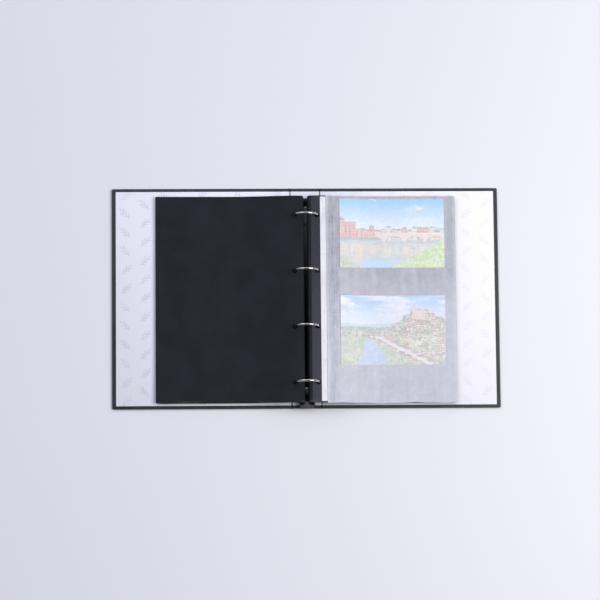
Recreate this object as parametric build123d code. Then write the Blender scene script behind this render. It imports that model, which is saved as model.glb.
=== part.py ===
"""Four-ring album lying open: case, ring mechanism, black leaves, interleaves and two prints.

Millimetres. X runs across the open album, Y from its foot to its head, Z up.
The origin is the centre of the open case, on the surface that it lies on.
"""

from build123d import *
from math import cos, radians, sin, sqrt, tan
import os

# ---------------------------------------------------------------- driving dimensions

# case
CASE_HEIGHT = 317.0          # along Y
COVER_REACH = 276.0          # middle of the spine to the outer edge of a cover
CLOTH = 0.3                  # leatherette
BOARD = 2.0                  # grey board
PAPER = 0.15                 # endpaper and lining
SPINE_HALF = 18.5            # half the width of the spine board
GUTTER = 5.4                 # gap between the spine board and a cover board
TURN_IN = 15.0               # cloth folded round onto the inside
BORDER = 4.5                 # turned-in cloth left showing round the endpaper
CORNER = 2.0                 # radius of the case's outer corners
CREASE_DEPTH = 1.6           # how far the lining dips at a fold line
CREASE_HALF = 1.3            # half the width of that dip
GROOVE_RISE = 0.6            # how far the cloth arches in below a gutter

# ring mechanism
MECHANISM_Y = -2.5           # it sits a little below the middle of the case
RING_PITCH = 80.0
RING_COUNT = 4
RING_RADIUS = 16.4           # to the middle of the wire
WIRE = 3.2
RING_FLOOR_Z = 4.6           # lowest point of the ring's full circle
SHELL_LENGTH = 290.0
SHELL_HALF = 12.1            # half its width where it meets the spine
SHELL_TOP = 11.5
SHELL_WALL = 0.8
SHELL_LIP = 2.2              # rolled lip under each hinge plate
PLATE_PIVOT_X = 8.7
PLATE_PIVOT_Z = 5.6
PLATE = 1.2
PLATE_TILT = 3.5             # degrees, plates sloping down to the middle while shut
PLATE_END_GAP = 6.0          # shell end to plate end
PLATE_GAP = 0.4              # between the two plates
FOOT_SHIFT = 0.9             # a ring half stands this far inside the end of its curve
FOOT = 2.9                   # width of that foot
FOOT_HEIGHT = 1.0
FOOT_ANGLE = 60.0            # degrees below level, where the ring's curve ends
TENON = 2.0                  # end of the wire, through the plate
TENON_HEAD = 3.4
TENON_HEAD_HEIGHT = 0.5
RING_JOINT_GAP = 0.08        # between the two halves at the top
TIP_BASE = 1.9               # cone that locates one half in the other
TIP_LENGTH = 1.0
RING_SLOT = 5.0              # hole in the shell round each wire
RIVET_INSET = 15.0           # shell end to mounting rivet
RIVET = 4.0
RIVET_HEAD = 6.6
RIVET_HEAD_HEIGHT = 1.1
RIVET_DOME = 0.7             # share of the head's height that is rounded
RIVET_FLANGE = 9.0
RIVET_FLANGE_HEIGHT = 0.5
DIMPLE = 8.4                 # hollow in the shell round a rivet head
DIMPLE_FLOOR = 9.0
NOTCH = 6.4                  # clearance hole in the plates round a rivet
FIT = 0.05                   # radial clearance of a pin or rivet in its hole

# lever
LEVER_PIN = 2.0
LEVER_PIVOT_Z = 6.8
LEVER_PIVOT_INSET = 2.4      # inwards from the shell end
LEVER_WIDTH = 22.0
LEVER_NECK = 12.0
LEVER_REACH = 13.0           # pivot to the outer edge
LEVER_SHEET = 1.3
LEVER_TILT = 10.0            # degrees, outer end up while the rings are shut
LEVER_OUTER_CORNER = 4.0
LEVER_INNER_CORNER = 2.0
LEVER_CLEARANCE = 1.0        # shell end to the wide part of the tab
NECK_OVERLAP = 1.5
FORK_REACH = 4.9             # pivot to the fork's tips
FORK_WIDTH = 7.0
FORK_SHEET = 1.0
FORK_GAP = 0.45              # fork finger to hinge plate

# leaves
LEAF_WIDTH = 210.0
LEAF_HEIGHT = 297.0
LEAF = 0.5
LEAF_CORNER = 3.0
GLASSINE_CORNER = 0.8
SHEET_START = 0.5            # where every sheet's run begins
GLASSINE = 0.12
PRINT_SHEET = 0.22
HOLE = 6.8
HOLE_INSET = 12.0            # leaf's inner edge to the middle of a hole
HOLE_SLACK = 0.8             # holes sit this much outside the wire
LEFT_LEAVES = 4
RIGHT_LEAVES = 4             # below the top one
REST_GAP = 0.25              # lowest sheet to the endpaper and to the shell
RING_STEP = 0.15             # gap between sheets beside the rings
OUTER_STEP = 0.06            # gap between sheets further out
BODY_GAP = 0.2               # between sheets that can move apart
BEND_START = 24.0            # where a sheet starts down from the rings
BEND_END = 88.0              # where it lies flat again
BEND_RADIUS = 160.0
LEFT_FAN = [0.03, 0.07, 0.04, 0.08]     # degrees, each leaf turned a little in plan
RIGHT_FAN = [-0.08, 0.04, -0.11, -0.03]
TOP_FAN = 0.0
GLUE_START = 21.0            # glued strip of the top interleaf
GLUE_WIDTH = 8.0
INTERLEAF_SHORT = 1.5        # interleaves are this much shorter than the leaves at head, foot and edge
PRINT_WIDTH = 150.0
PRINT_HEIGHT = 100.0
PRINT_X = 49.0               # inner edge of the prints
UPPER_PRINT_Y = 42.5         # lower edge of the upper print
LOWER_PRINT_Y = -97.5
FAR = 400.0                  # longer than anything here, for cutting tools

# ---------------------------------------------------------------- sizes that follow

COVER_START = SPINE_HALF + GUTTER
CREASE_X = SPINE_HALF + GUTTER / 2
CLOTH_TOP = CLOTH + BOARD + CLOTH
CASE_TOP = CLOTH_TOP + PAPER
HALF_CASE = CASE_HEIGHT / 2
RING_CENTRE_Z = RING_FLOOR_Z + RING_RADIUS
FOOT_X = RING_RADIUS * cos(radians(FOOT_ANGLE)) - FOOT_SHIFT
HALF_SHELL = SHELL_LENGTH / 2
ARCH_RISE = SHELL_TOP - CASE_TOP
ARCH_RADIUS = (SHELL_HALF**2 + ARCH_RISE**2) / (2 * ARCH_RISE)
ARCH_CENTRE_Z = SHELL_TOP - ARCH_RADIUS
RING_YS = [MECHANISM_Y + (i - (RING_COUNT - 1) / 2) * RING_PITCH for i in range(RING_COUNT)]
RIVET_YS = [MECHANISM_Y + end * (HALF_SHELL - RIVET_INSET) for end in (-1, 1)]
LEVER_PIVOT_Y = MECHANISM_Y - HALF_SHELL + LEVER_PIVOT_INSET
SIDES = {"left": -1, "right": 1}
COVERS = {"front": -1, "back": 1}


def block(x0, x1, y0, y1, z0, z1):
    """A box between two corners."""
    return Pos((x0 + x1) / 2, (y0 + y1) / 2, (z0 + z1) / 2) * Box(x1 - x0, y1 - y0, z1 - z0)


def post(x, y, z0, z1, diameter):
    """An upright cylinder."""
    return Pos(x, y, (z0 + z1) / 2) * Cylinder(diameter / 2, z1 - z0)


def mirrored(shape, side):
    """The shape as drawn for the right-hand side, or its mirror image for the left."""
    return shape if side > 0 else mirror(shape, about=Plane.YZ)


def rounded_ends(shape, radius):
    """Round the two upright edges that lie furthest out along X."""
    return fillet(shape.edges().filter_by(Axis.Z).group_by(Axis.X)[-1], radius)


def save(shape, name):
    """Write one node."""
    shape.label = name
    export_step(shape, f"parts/{name}.step")


# ---------------------------------------------------------------- case


def cover_pieces():
    """Board, cloth and endpaper of the right-hand cover."""
    edge = COVER_REACH - CLOTH
    board = block(COVER_START, edge, CLOTH - HALF_CASE, HALF_CASE - CLOTH, CLOTH, CLOTH + BOARD)
    board = rounded_ends(board, CORNER - CLOTH)
    outside = block(COVER_START, COVER_REACH, -HALF_CASE, HALF_CASE, 0, CLOTH_TOP)
    outside = rounded_ends(outside, CORNER)
    inner_y = HALF_CASE - TURN_IN
    window = block(COVER_START, COVER_REACH - TURN_IN, -inner_y, inner_y, CLOTH + BOARD, CLOTH_TOP)
    cloth = outside - board - window
    paper_y = HALF_CASE - BORDER
    sheet = block(COVER_START, COVER_REACH - BORDER, -paper_y, paper_y, CLOTH_TOP, CASE_TOP)
    return board, cloth, sheet + window


def spine_pieces():
    """Board, cloth and lining of the spine, with holes for the mounting rivets."""
    width = SPINE_HALF
    board = block(-width, width, CLOTH - HALF_CASE, HALF_CASE - CLOTH, CLOTH, CLOTH + BOARD)
    inner_y = HALF_CASE - TURN_IN
    window = block(-width, width, -inner_y, inner_y, CLOTH + BOARD, CLOTH_TOP)
    cloth = block(-width, width, -HALF_CASE, HALF_CASE, 0, CLOTH_TOP) - board - window
    paper_y = HALF_CASE - BORDER
    lining = block(-width, width, -paper_y, paper_y, CLOTH_TOP, CASE_TOP) + window
    for y in RIVET_YS:
        shank = post(0, y, -1, CASE_TOP + 1, RIVET + 2 * FIT)
        flange = post(0, y, -1, RIVET_FLANGE_HEIGHT, RIVET_FLANGE + 2 * FIT)
        board, cloth, lining = (piece - shank - flange for piece in (board, cloth, lining))
    return board, cloth, lining


def strip(path, thickness, half_length):
    """A sheet of even thickness, standing on a path in the XZ plane, with its length along Y."""
    outline = make_face(offset(path, thickness, side=Side.LEFT, closed=True).edges())
    return extrude(outline, amount=half_length, both=True)


def gutter_pieces():
    """Cloth below and creased lining above one gutter, on the right-hand side."""
    frame = Plane(origin=(0, 0, 0), x_dir=(1, 0, 0), z_dir=(0, -1, 0))
    near, far, middle = SPINE_HALF, COVER_START, CREASE_X
    low = frame * ThreePointArc((near, 0), (middle, GROOVE_RISE), (far, 0))
    top = CLOTH_TOP
    dip = [
        (near, top),
        (middle - CREASE_HALF, top),
        (middle, top - CREASE_DEPTH),
        (middle + CREASE_HALF, top),
        (far, top),
    ]
    cloth = strip(low, CLOTH, HALF_CASE) & block(near, far, -FAR, FAR, 0, FAR)
    return cloth, strip(frame * Polyline(*dip), PAPER, HALF_CASE - BORDER)


def make_case():
    """Write every piece of the case."""
    for name, side in COVERS.items():
        board, cloth, paper = cover_pieces()
        save(mirrored(board, side), f"{name}_board")
        save(mirrored(cloth, side), f"{name}_cover_cloth")
        save(mirrored(paper, side), f"{name}_endpaper")
        hinge_cloth, hinge_lining = gutter_pieces()
        save(mirrored(hinge_cloth, side), f"{name}_hinge_cloth")
        save(mirrored(hinge_lining, side), f"{name}_hinge_lining")
    board, cloth, lining = spine_pieces()
    save(board, "spine_board")
    save(cloth, "spine_cloth")
    save(lining, "spine_lining")


# ---------------------------------------------------------------- ring mechanism


def arch(radius, length):
    """A solid bar with the shell's arched section, cut off where it meets the spine."""
    bar = Pos(0, MECHANISM_Y, ARCH_CENTRE_Z) * Rot(90, 0, 0) * Cylinder(radius, length)
    return bar & block(-FAR, FAR, -FAR, FAR, CASE_TOP, FAR)


def ring_point(angle):
    """X and Z of the ring's middle line on the right, at an angle below level."""
    turn = radians(angle)
    return RING_RADIUS * cos(turn), RING_CENTRE_Z - RING_RADIUS * sin(turn)


def shell_crossing():
    """Angle below level at which the right-hand wire passes through the shell."""
    gap = RING_CENTRE_Z - ARCH_CENTRE_Z
    middle = ARCH_RADIUS - SHELL_WALL / 2
    down = (RING_RADIUS**2 - middle**2 + gap**2) / (2 * gap)
    return 90 - Vector(0, 1, 0).get_angle(Vector(sqrt(RING_RADIUS**2 - down**2), down, 0))


def make_shell():
    """Arched shell with rolled lips, a slot for each wire and a dimple for each rivet."""
    outer = arch(ARCH_RADIUS, SHELL_LENGTH)
    shell = outer - arch(ARCH_RADIUS - SHELL_WALL, SHELL_LENGTH + 2)
    lip_top = CASE_TOP + SHELL_WALL
    inner = SHELL_HALF - SHELL_WALL - SHELL_LIP
    ends = (MECHANISM_Y - HALF_SHELL, MECHANISM_Y + HALF_SHELL)
    for side in SIDES.values():
        lip = block(inner, SHELL_HALF, *ends, CASE_TOP, lip_top)
        shell += mirrored(lip, side) & outer
    for y in RIVET_YS:
        shell += post(0, y, DIMPLE_FLOOR, SHELL_TOP, DIMPLE + 2 * SHELL_WALL) & outer
        shell -= post(0, y, DIMPLE_FLOOR + SHELL_WALL, FAR, DIMPLE)
        shell -= post(0, y, 0, FAR, RIVET + 2 * FIT)
    angle = shell_crossing()
    x, z = ring_point(angle)
    for y in RING_YS:
        for side in SIDES.values():
            slot = Pos(x, y, z) * Rot(0, angle, 0) * Cylinder(RING_SLOT / 2, 3 * SHELL_WALL + 2)
            shell -= mirrored(slot, side)
    bore = Pos(0, LEVER_PIVOT_Y, LEVER_PIVOT_Z) * Rot(0, 90, 0)
    return shell - bore * Cylinder(LEVER_PIN / 2 + FIT, 3 * SHELL_HALF)


def make_plate():
    """The right-hand hinge plate, level, with its outer edge rounded about the pivot line."""
    y0 = MECHANISM_Y - HALF_SHELL + PLATE_END_GAP
    y1 = MECHANISM_Y + HALF_SHELL - PLATE_END_GAP
    z0 = PLATE_PIVOT_Z - PLATE / 2
    plate = block(PLATE_GAP / 2, PLATE_PIVOT_X, y0, y1, z0, z0 + PLATE)
    edge = Pos(PLATE_PIVOT_X, MECHANISM_Y, PLATE_PIVOT_Z) * Rot(90, 0, 0)
    plate += edge * Cylinder(PLATE / 2, y1 - y0)
    for y in RING_YS:
        plate -= post(FOOT_X, y, 0, FAR, TENON + 2 * FIT)
    for y in RIVET_YS:
        plate -= post(0, y, 0, FAR, NOTCH)
    return plate


def tilt(shape, angle):
    """Turn a right-hand shape about the plate's pivot line; positive lifts its inner edge."""
    axis = Axis((PLATE_PIVOT_X, 0, PLATE_PIVOT_Z), (0, 1, 0))
    return shape.rotate(axis, angle)


def make_ring_half(y, side):
    """One half of a ring: curved wire, foot, tenon through the plate and its peened head."""
    frame = Plane(origin=(0, y, RING_CENTRE_Z), x_dir=(1, 0, 0), z_dir=(0, -1, 0))
    top = RING_JOINT_GAP / 2
    start_turn = radians(90) - top / RING_RADIUS
    start = (RING_RADIUS * cos(start_turn), RING_RADIUS * sin(start_turn))
    x, z = ring_point(FOOT_ANGLE)
    end = (x, z - RING_CENTRE_Z)
    path = frame * ThreePointArc(start, (RING_RADIUS, 0), end)
    section = Plane(origin=path @ 0, z_dir=path % 0) * Circle(WIRE / 2)
    wire = sweep(section, path=path)
    # the wire is cut off square on the plate, and a short foot carries it over the tenon
    plate_top = PLATE_PIVOT_Z + PLATE / 2
    above_plate = block(-FAR, FAR, y - WIRE, y + WIRE, plate_top, FAR)
    z_under = PLATE_PIVOT_Z - PLATE / 2
    foot = post(FOOT_X, y, plate_top, plate_top + FOOT_HEIGHT, FOOT)
    foot += post(FOOT_X, y, z_under - TENON_HEAD_HEIGHT, plate_top + FOOT_HEIGHT / 2, TENON)
    foot += post(FOOT_X, y, z_under - TENON_HEAD_HEIGHT, z_under, TENON_HEAD)
    half = (wire & tilt(above_plate, -PLATE_TILT)) + tilt(foot, -PLATE_TILT)
    return mirrored(half, side)


def ring_tip(y, grow):
    """Cone on the left half's end that seats in the right half's, pointing towards +X."""
    z = RING_CENTRE_Z + RING_RADIUS
    cone = Cone(TIP_BASE / 2 + grow, TIP_BASE / 6 + grow, TIP_LENGTH + grow)
    return Pos((TIP_LENGTH + grow) / 2 - RING_JOINT_GAP / 2, y, z) * Rot(0, 90, 0) * cone


def make_mechanism():
    """Write the shell, plates, ring halves and mounting rivets."""
    save(make_shell(), "mechanism_shell")
    for name, side in SIDES.items():
        plate = tilt(make_plate(), -PLATE_TILT)
        save(mirrored(plate, side), f"{name}_hinge_plate")
        for number, y in enumerate(RING_YS, 1):
            half = make_ring_half(y, side)
            if side < 0:
                half += ring_tip(y, 0)
            else:
                half -= ring_tip(y, 3 * FIT)
            save(half, f"{name}_ring_half_{number}")
    rivets, flanges = [], []
    floor = DIMPLE_FLOOR + SHELL_WALL
    for y in RIVET_YS:
        head = post(0, y, floor, floor + RIVET_HEAD_HEIGHT, RIVET_HEAD)
        head = fillet(head.edges().group_by(Axis.Z)[-1], RIVET_DOME * RIVET_HEAD_HEIGHT)
        rivets.append(post(0, y, RIVET_FLANGE_HEIGHT, floor, RIVET) + head)
        flanges.append(post(0, y, 0, RIVET_FLANGE_HEIGHT, RIVET_FLANGE))
    save(Compound(rivets), "mounting_rivets")
    save(Compound(flanges), "rivet_flanges")


def make_lever():
    """Write the lever and its pin. It is drawn level about the pivot, then its tab is tilted up."""
    pin = Pos(0, LEVER_PIVOT_Y, LEVER_PIVOT_Z) * Rot(0, 90, 0)
    half_pin = sqrt(ARCH_RADIUS**2 - (LEVER_PIVOT_Z - ARCH_CENTRE_Z) ** 2) + SHELL_WALL / 4
    save(pin * Cylinder(LEVER_PIN / 2, 2 * half_pin), "lever_pin")

    tab_start = LEVER_PIVOT_INSET + LEVER_CLEARANCE
    hub = Rot(0, 90, 0) * Cylinder(LEVER_PIN / 2 + LEVER_SHEET, LEVER_NECK)
    half_sheet = LEVER_SHEET / 2
    neck_end = -tab_start - NECK_OVERLAP
    neck = block(-LEVER_NECK / 2, LEVER_NECK / 2, neck_end, 0, -half_sheet, half_sheet)
    half_width = LEVER_WIDTH / 2
    tab = block(-half_width, half_width, -LEVER_REACH, -tab_start, -half_sheet, half_sheet)
    tab = fillet(tab.edges().filter_by(Axis.Z).group_by(Axis.Y)[0], LEVER_OUTER_CORNER)
    tab = fillet(tab.edges().filter_by(Axis.Z).group_by(Axis.Y)[-1], LEVER_INNER_CORNER)
    tab = (neck + tab).rotate(Axis.X, -LEVER_TILT)

    inner_z = PLATE_PIVOT_Z - (PLATE_PIVOT_X - PLATE_GAP / 2) * tan(radians(PLATE_TILT))
    middle = inner_z - LEVER_PIVOT_Z
    top = middle + PLATE / 2 + 2 * FORK_GAP
    bottom = middle - PLATE / 2 - FORK_GAP
    half_fork = FORK_WIDTH / 2
    upper = block(-half_fork, half_fork, 0, FORK_REACH, top, top + FORK_SHEET)
    lower = block(-half_fork, half_fork, 0, FORK_REACH, bottom - FORK_SHEET, bottom)
    back = block(-half_fork, half_fork, 0, 2.0, bottom - FORK_SHEET, top + FORK_SHEET)
    lever = hub + tab + upper + lower + back
    lever -= Rot(0, 90, 0) * Cylinder(LEVER_PIN / 2 + FIT, LEVER_NECK + 2)
    save(Pos(0, LEVER_PIVOT_Y, LEVER_PIVOT_Z) * lever, "lever")


# ---------------------------------------------------------------- leaves


class Stack:
    """Heights at which the next sheet lies, beside the rings and further out."""

    def __init__(self):
        self.near = SHELL_TOP + REST_GAP
        self.far = CASE_TOP + REST_GAP

    def place(self, thickness, near_gap=RING_STEP, far_gap=OUTER_STEP):
        """Heights of a sheet's underside; the stack then stands higher by it and its gap."""
        levels = (self.near, self.far)
        self.near += thickness + near_gap
        self.far += thickness + far_gap
        return levels


def hole_x(near):
    """X of the hole's middle for a sheet at this height beside the rings."""
    down = RING_CENTRE_Z - near - LEAF / 2
    return sqrt(RING_RADIUS**2 - down**2) + HOLE_SLACK


def sheet_section(levels, thickness):
    """A sheet's full run on the right: level over the shell, down in an S, then flat."""
    near, far = levels
    frame = Plane(origin=(0, 0, 0), x_dir=(1, 0, 0), z_dir=(0, -1, 0))
    corners = [(SHEET_START, near), (BEND_START, near), (BEND_END, far), (FAR, far)]
    path = frame * FilletPolyline(*corners, radius=BEND_RADIUS)
    return strip(path, thickness, HALF_CASE)


def leaf_outline(x0, width, height, corner, holes_x, fan):
    """A tall prism with a sheet's plan, its holes cut and the sheet turned a little about them."""
    middle = Pos(x0 + width / 2, MECHANISM_Y, 0)
    plan = middle * RectangleRounded(width, height, corner)
    if holes_x:
        plan -= [Pos(holes_x, y, 0) * Circle(HOLE / 2) for y in RING_YS]
    prism = extrude(plan, amount=RING_CENTRE_Z + RING_RADIUS)
    return prism.rotate(Axis((holes_x or x0, MECHANISM_Y, 0), (0, 0, 1)), fan)


def make_leaf(levels, thickness, fan, trim=0.0):
    """A punched sheet on the right. The hole line lies on the rings and sets its inner edge."""
    x = hole_x(levels[0])
    outline = leaf_outline(
        x - HOLE_INSET, LEAF_WIDTH - trim, LEAF_HEIGHT - 2 * trim, LEAF_CORNER, x, fan
    )
    return sheet_section(levels, thickness) & outline


def make_glued(levels, thickness, x0, x1, trim, fan):
    """An unpunched sheet on the right, from x0 to x1, in line with the leaf below it."""
    outline = leaf_outline(x0, x1 - x0, LEAF_HEIGHT - 2 * trim, GLASSINE_CORNER, 0, fan)
    return sheet_section(levels, thickness) & outline


def make_print(levels, y0):
    """A mounted print, following the leaf below it."""
    section = sheet_section(levels, PRINT_SHEET)
    x1 = PRINT_X + PRINT_WIDTH
    return section & block(PRINT_X, x1, y0, y0 + PRINT_HEIGHT, 0, RING_CENTRE_Z)


def make_leaves():
    """Write both stacks, the top leaf, its prints and its interleaf."""
    edge = hole_x(SHELL_TOP) - HOLE_INSET + LEAF_WIDTH - INTERLEAF_SHORT
    stack = Stack()
    for number in range(1, LEFT_LEAVES + 1):
        fan = LEFT_FAN[number - 1]
        glassine = make_glued(
            stack.place(GLASSINE), GLASSINE, GLUE_START, edge, INTERLEAF_SHORT, fan
        )
        leaf = make_leaf(stack.place(LEAF), LEAF, fan)
        save(mirrored(glassine, -1), f"left_interleaf_{number}")
        save(mirrored(leaf, -1), f"left_leaf_{number}")
    stack = Stack()
    for number in range(1, RIGHT_LEAVES + 1):
        fan = RIGHT_FAN[number - 1]
        last = number == RIGHT_LEAVES
        leaf = make_leaf(stack.place(LEAF), LEAF, fan)
        gaps = (BODY_GAP, BODY_GAP) if last else (RING_STEP, OUTER_STEP)
        levels = stack.place(GLASSINE, *gaps)
        glassine = make_glued(levels, GLASSINE, GLUE_START, edge, INTERLEAF_SHORT, fan)
        save(leaf, f"right_leaf_{number}")
        save(glassine, f"right_interleaf_{number}")
    save(make_leaf(stack.place(LEAF), LEAF, TOP_FAN), "top_leaf")
    # the prints and the interleaf's glued strip lie on the top leaf
    glue_levels = (stack.near, stack.far)
    levels = stack.place(PRINT_SHEET, BODY_GAP, BODY_GAP)
    save(make_print(levels, UPPER_PRINT_Y), "upper_print")
    save(make_print(levels, LOWER_PRINT_Y), "lower_print")
    glue_end = GLUE_START + GLUE_WIDTH
    glue = make_glued(glue_levels, GLASSINE, GLUE_START, glue_end, INTERLEAF_SHORT, TOP_FAN)
    save(glue, "glue_strip")
    levels = stack.place(GLASSINE)
    hinge = glue_end + BODY_GAP
    glassine = make_glued(levels, GLASSINE, hinge, edge, INTERLEAF_SHORT, TOP_FAN)
    save(glassine, "top_interleaf")


os.makedirs("parts", exist_ok=True)
make_case()
make_mechanism()
make_lever()
make_leaves()
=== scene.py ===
"""Looks of an open four-ring album.

A leatherette case, nickel rings, black leaves, glassine interleaves and two colour prints.
"""

from __future__ import annotations

import logging
import math
from dataclasses import dataclass, field
from enum import Enum
from typing import Callable, Iterable, Sequence, Union

import bmesh
import bpy
from mathutils import Matrix, Vector, noise

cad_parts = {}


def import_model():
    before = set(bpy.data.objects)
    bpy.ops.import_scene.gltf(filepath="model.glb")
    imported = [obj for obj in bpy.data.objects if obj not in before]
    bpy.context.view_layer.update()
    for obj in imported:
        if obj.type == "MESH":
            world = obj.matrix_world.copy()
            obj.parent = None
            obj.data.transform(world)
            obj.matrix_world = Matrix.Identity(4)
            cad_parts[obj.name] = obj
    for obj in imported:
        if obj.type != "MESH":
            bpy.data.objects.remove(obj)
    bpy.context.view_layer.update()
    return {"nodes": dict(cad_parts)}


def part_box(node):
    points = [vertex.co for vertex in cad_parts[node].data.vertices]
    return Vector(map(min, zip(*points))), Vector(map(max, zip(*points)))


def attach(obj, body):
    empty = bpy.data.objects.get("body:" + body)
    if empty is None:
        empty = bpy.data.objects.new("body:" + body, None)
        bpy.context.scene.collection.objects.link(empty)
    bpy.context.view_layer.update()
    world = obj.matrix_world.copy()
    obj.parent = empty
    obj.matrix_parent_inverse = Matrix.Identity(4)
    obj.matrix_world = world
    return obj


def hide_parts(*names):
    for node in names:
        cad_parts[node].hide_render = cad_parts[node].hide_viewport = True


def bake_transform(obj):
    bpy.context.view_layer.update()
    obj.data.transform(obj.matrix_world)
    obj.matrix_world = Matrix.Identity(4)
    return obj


LOG = logging.getLogger("album")
MM = 0.001
SAME = 1e-6  # metres within which two places count as one
SMOOTH_ANGLE = math.radians(35)  # up to which neighbouring faces shade as one
RING_RADIUS = 16.4 * MM
RING_CENTRE_Z = 21.0 * MM
LINING_WHITE = (0.855, 0.857, 0.910)
PRINT_SHAPE = 1.5  # width of a print for a height of 1
RIGHT, AWAY = Vector((1, 0, 0)), Vector((0, 1, 0))
Colour = tuple[float, float, float]
Socket = bpy.types.NodeSocket
Mesh = bmesh.types.BMesh


# ---------------------------------------------------------------- material nodes


@dataclass(frozen=True)
class Output:
    """One output of a node tree."""

    graph: Graph
    socket: Socket


def through(operation: str, meaning: str) -> Callable[..., Field]:
    """Make a Field method that feeds the field and its arguments to a Math node.

    Args:
        operation: the node's operation.
        meaning: the method's docstring.

    Returns:
        The method.
    """

    def method(self: Field, *others: Number) -> Field:
        """Feed the field and its arguments to the node."""
        inputs = dict(enumerate((self, *others)))
        made = self.graph.add("ShaderNodeMath", inputs, operation=operation)
        return Field(self.graph, made.outputs[0])

    method.__doc__ = meaning
    return method


class Field(Output):
    """A number that varies over a surface."""

    __add__ = through("ADD", "Sum.")
    __sub__ = through("SUBTRACT", "Difference.")
    __mul__ = through("MULTIPLY", "Product.")
    power = through("POWER", "This field raised to a power.")
    exponential = through("EXPONENT", "e raised to this field.")
    size = through("ABSOLUTE", "Absolute value.")
    whole = through("FLOOR", "Rounded down.")
    part = through("FRACT", "What is left above the whole number.")
    wave = through("SINE", "Sine.")
    least = through("MINIMUM", "The smaller of two.")
    most = through("MAXIMUM", "The larger of two.")
    times_plus = through("MULTIPLY_ADD", "This field times one number, plus another.")

    def below(self, limit: float) -> Field:
        """How far this field lies below a limit."""
        return self.times_plus(-1.0, limit)

    def rise(self, low: Number, high: Number) -> Field:
        """A smooth step.

        Args:
            low: where it starts from 0.
            high: where it reaches 1.

        Returns:
            A field from 0 to 1.
        """
        inputs = {"Value": self, "From Min": low, "From Max": high}
        made = self.graph.add("ShaderNodeMapRange", inputs, interpolation_type="SMOOTHSTEP")
        return Field(self.graph, made.outputs[0])

    def fall(self, low: Number, high: Number) -> Field:
        """A smooth step down from 1 to 0."""
        return self.rise(low, high).below(1.0)

    def within(self, low: float, high: float, soft: float) -> Field:
        """1 between two values, with soft edges."""
        return self.rise(low - soft, low + soft) * self.fall(high - soft, high + soft)

    def around(self, centre: Number, near: float, far: float) -> Field:
        """1 as far as one distance from a centre, and 0 beyond another."""
        return (self - centre).size().fall(near, far)


class Tint(Output):
    """A colour that varies over a surface."""


Number = Union[Field, float]
Paint = Union[Tint, Colour]


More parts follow.
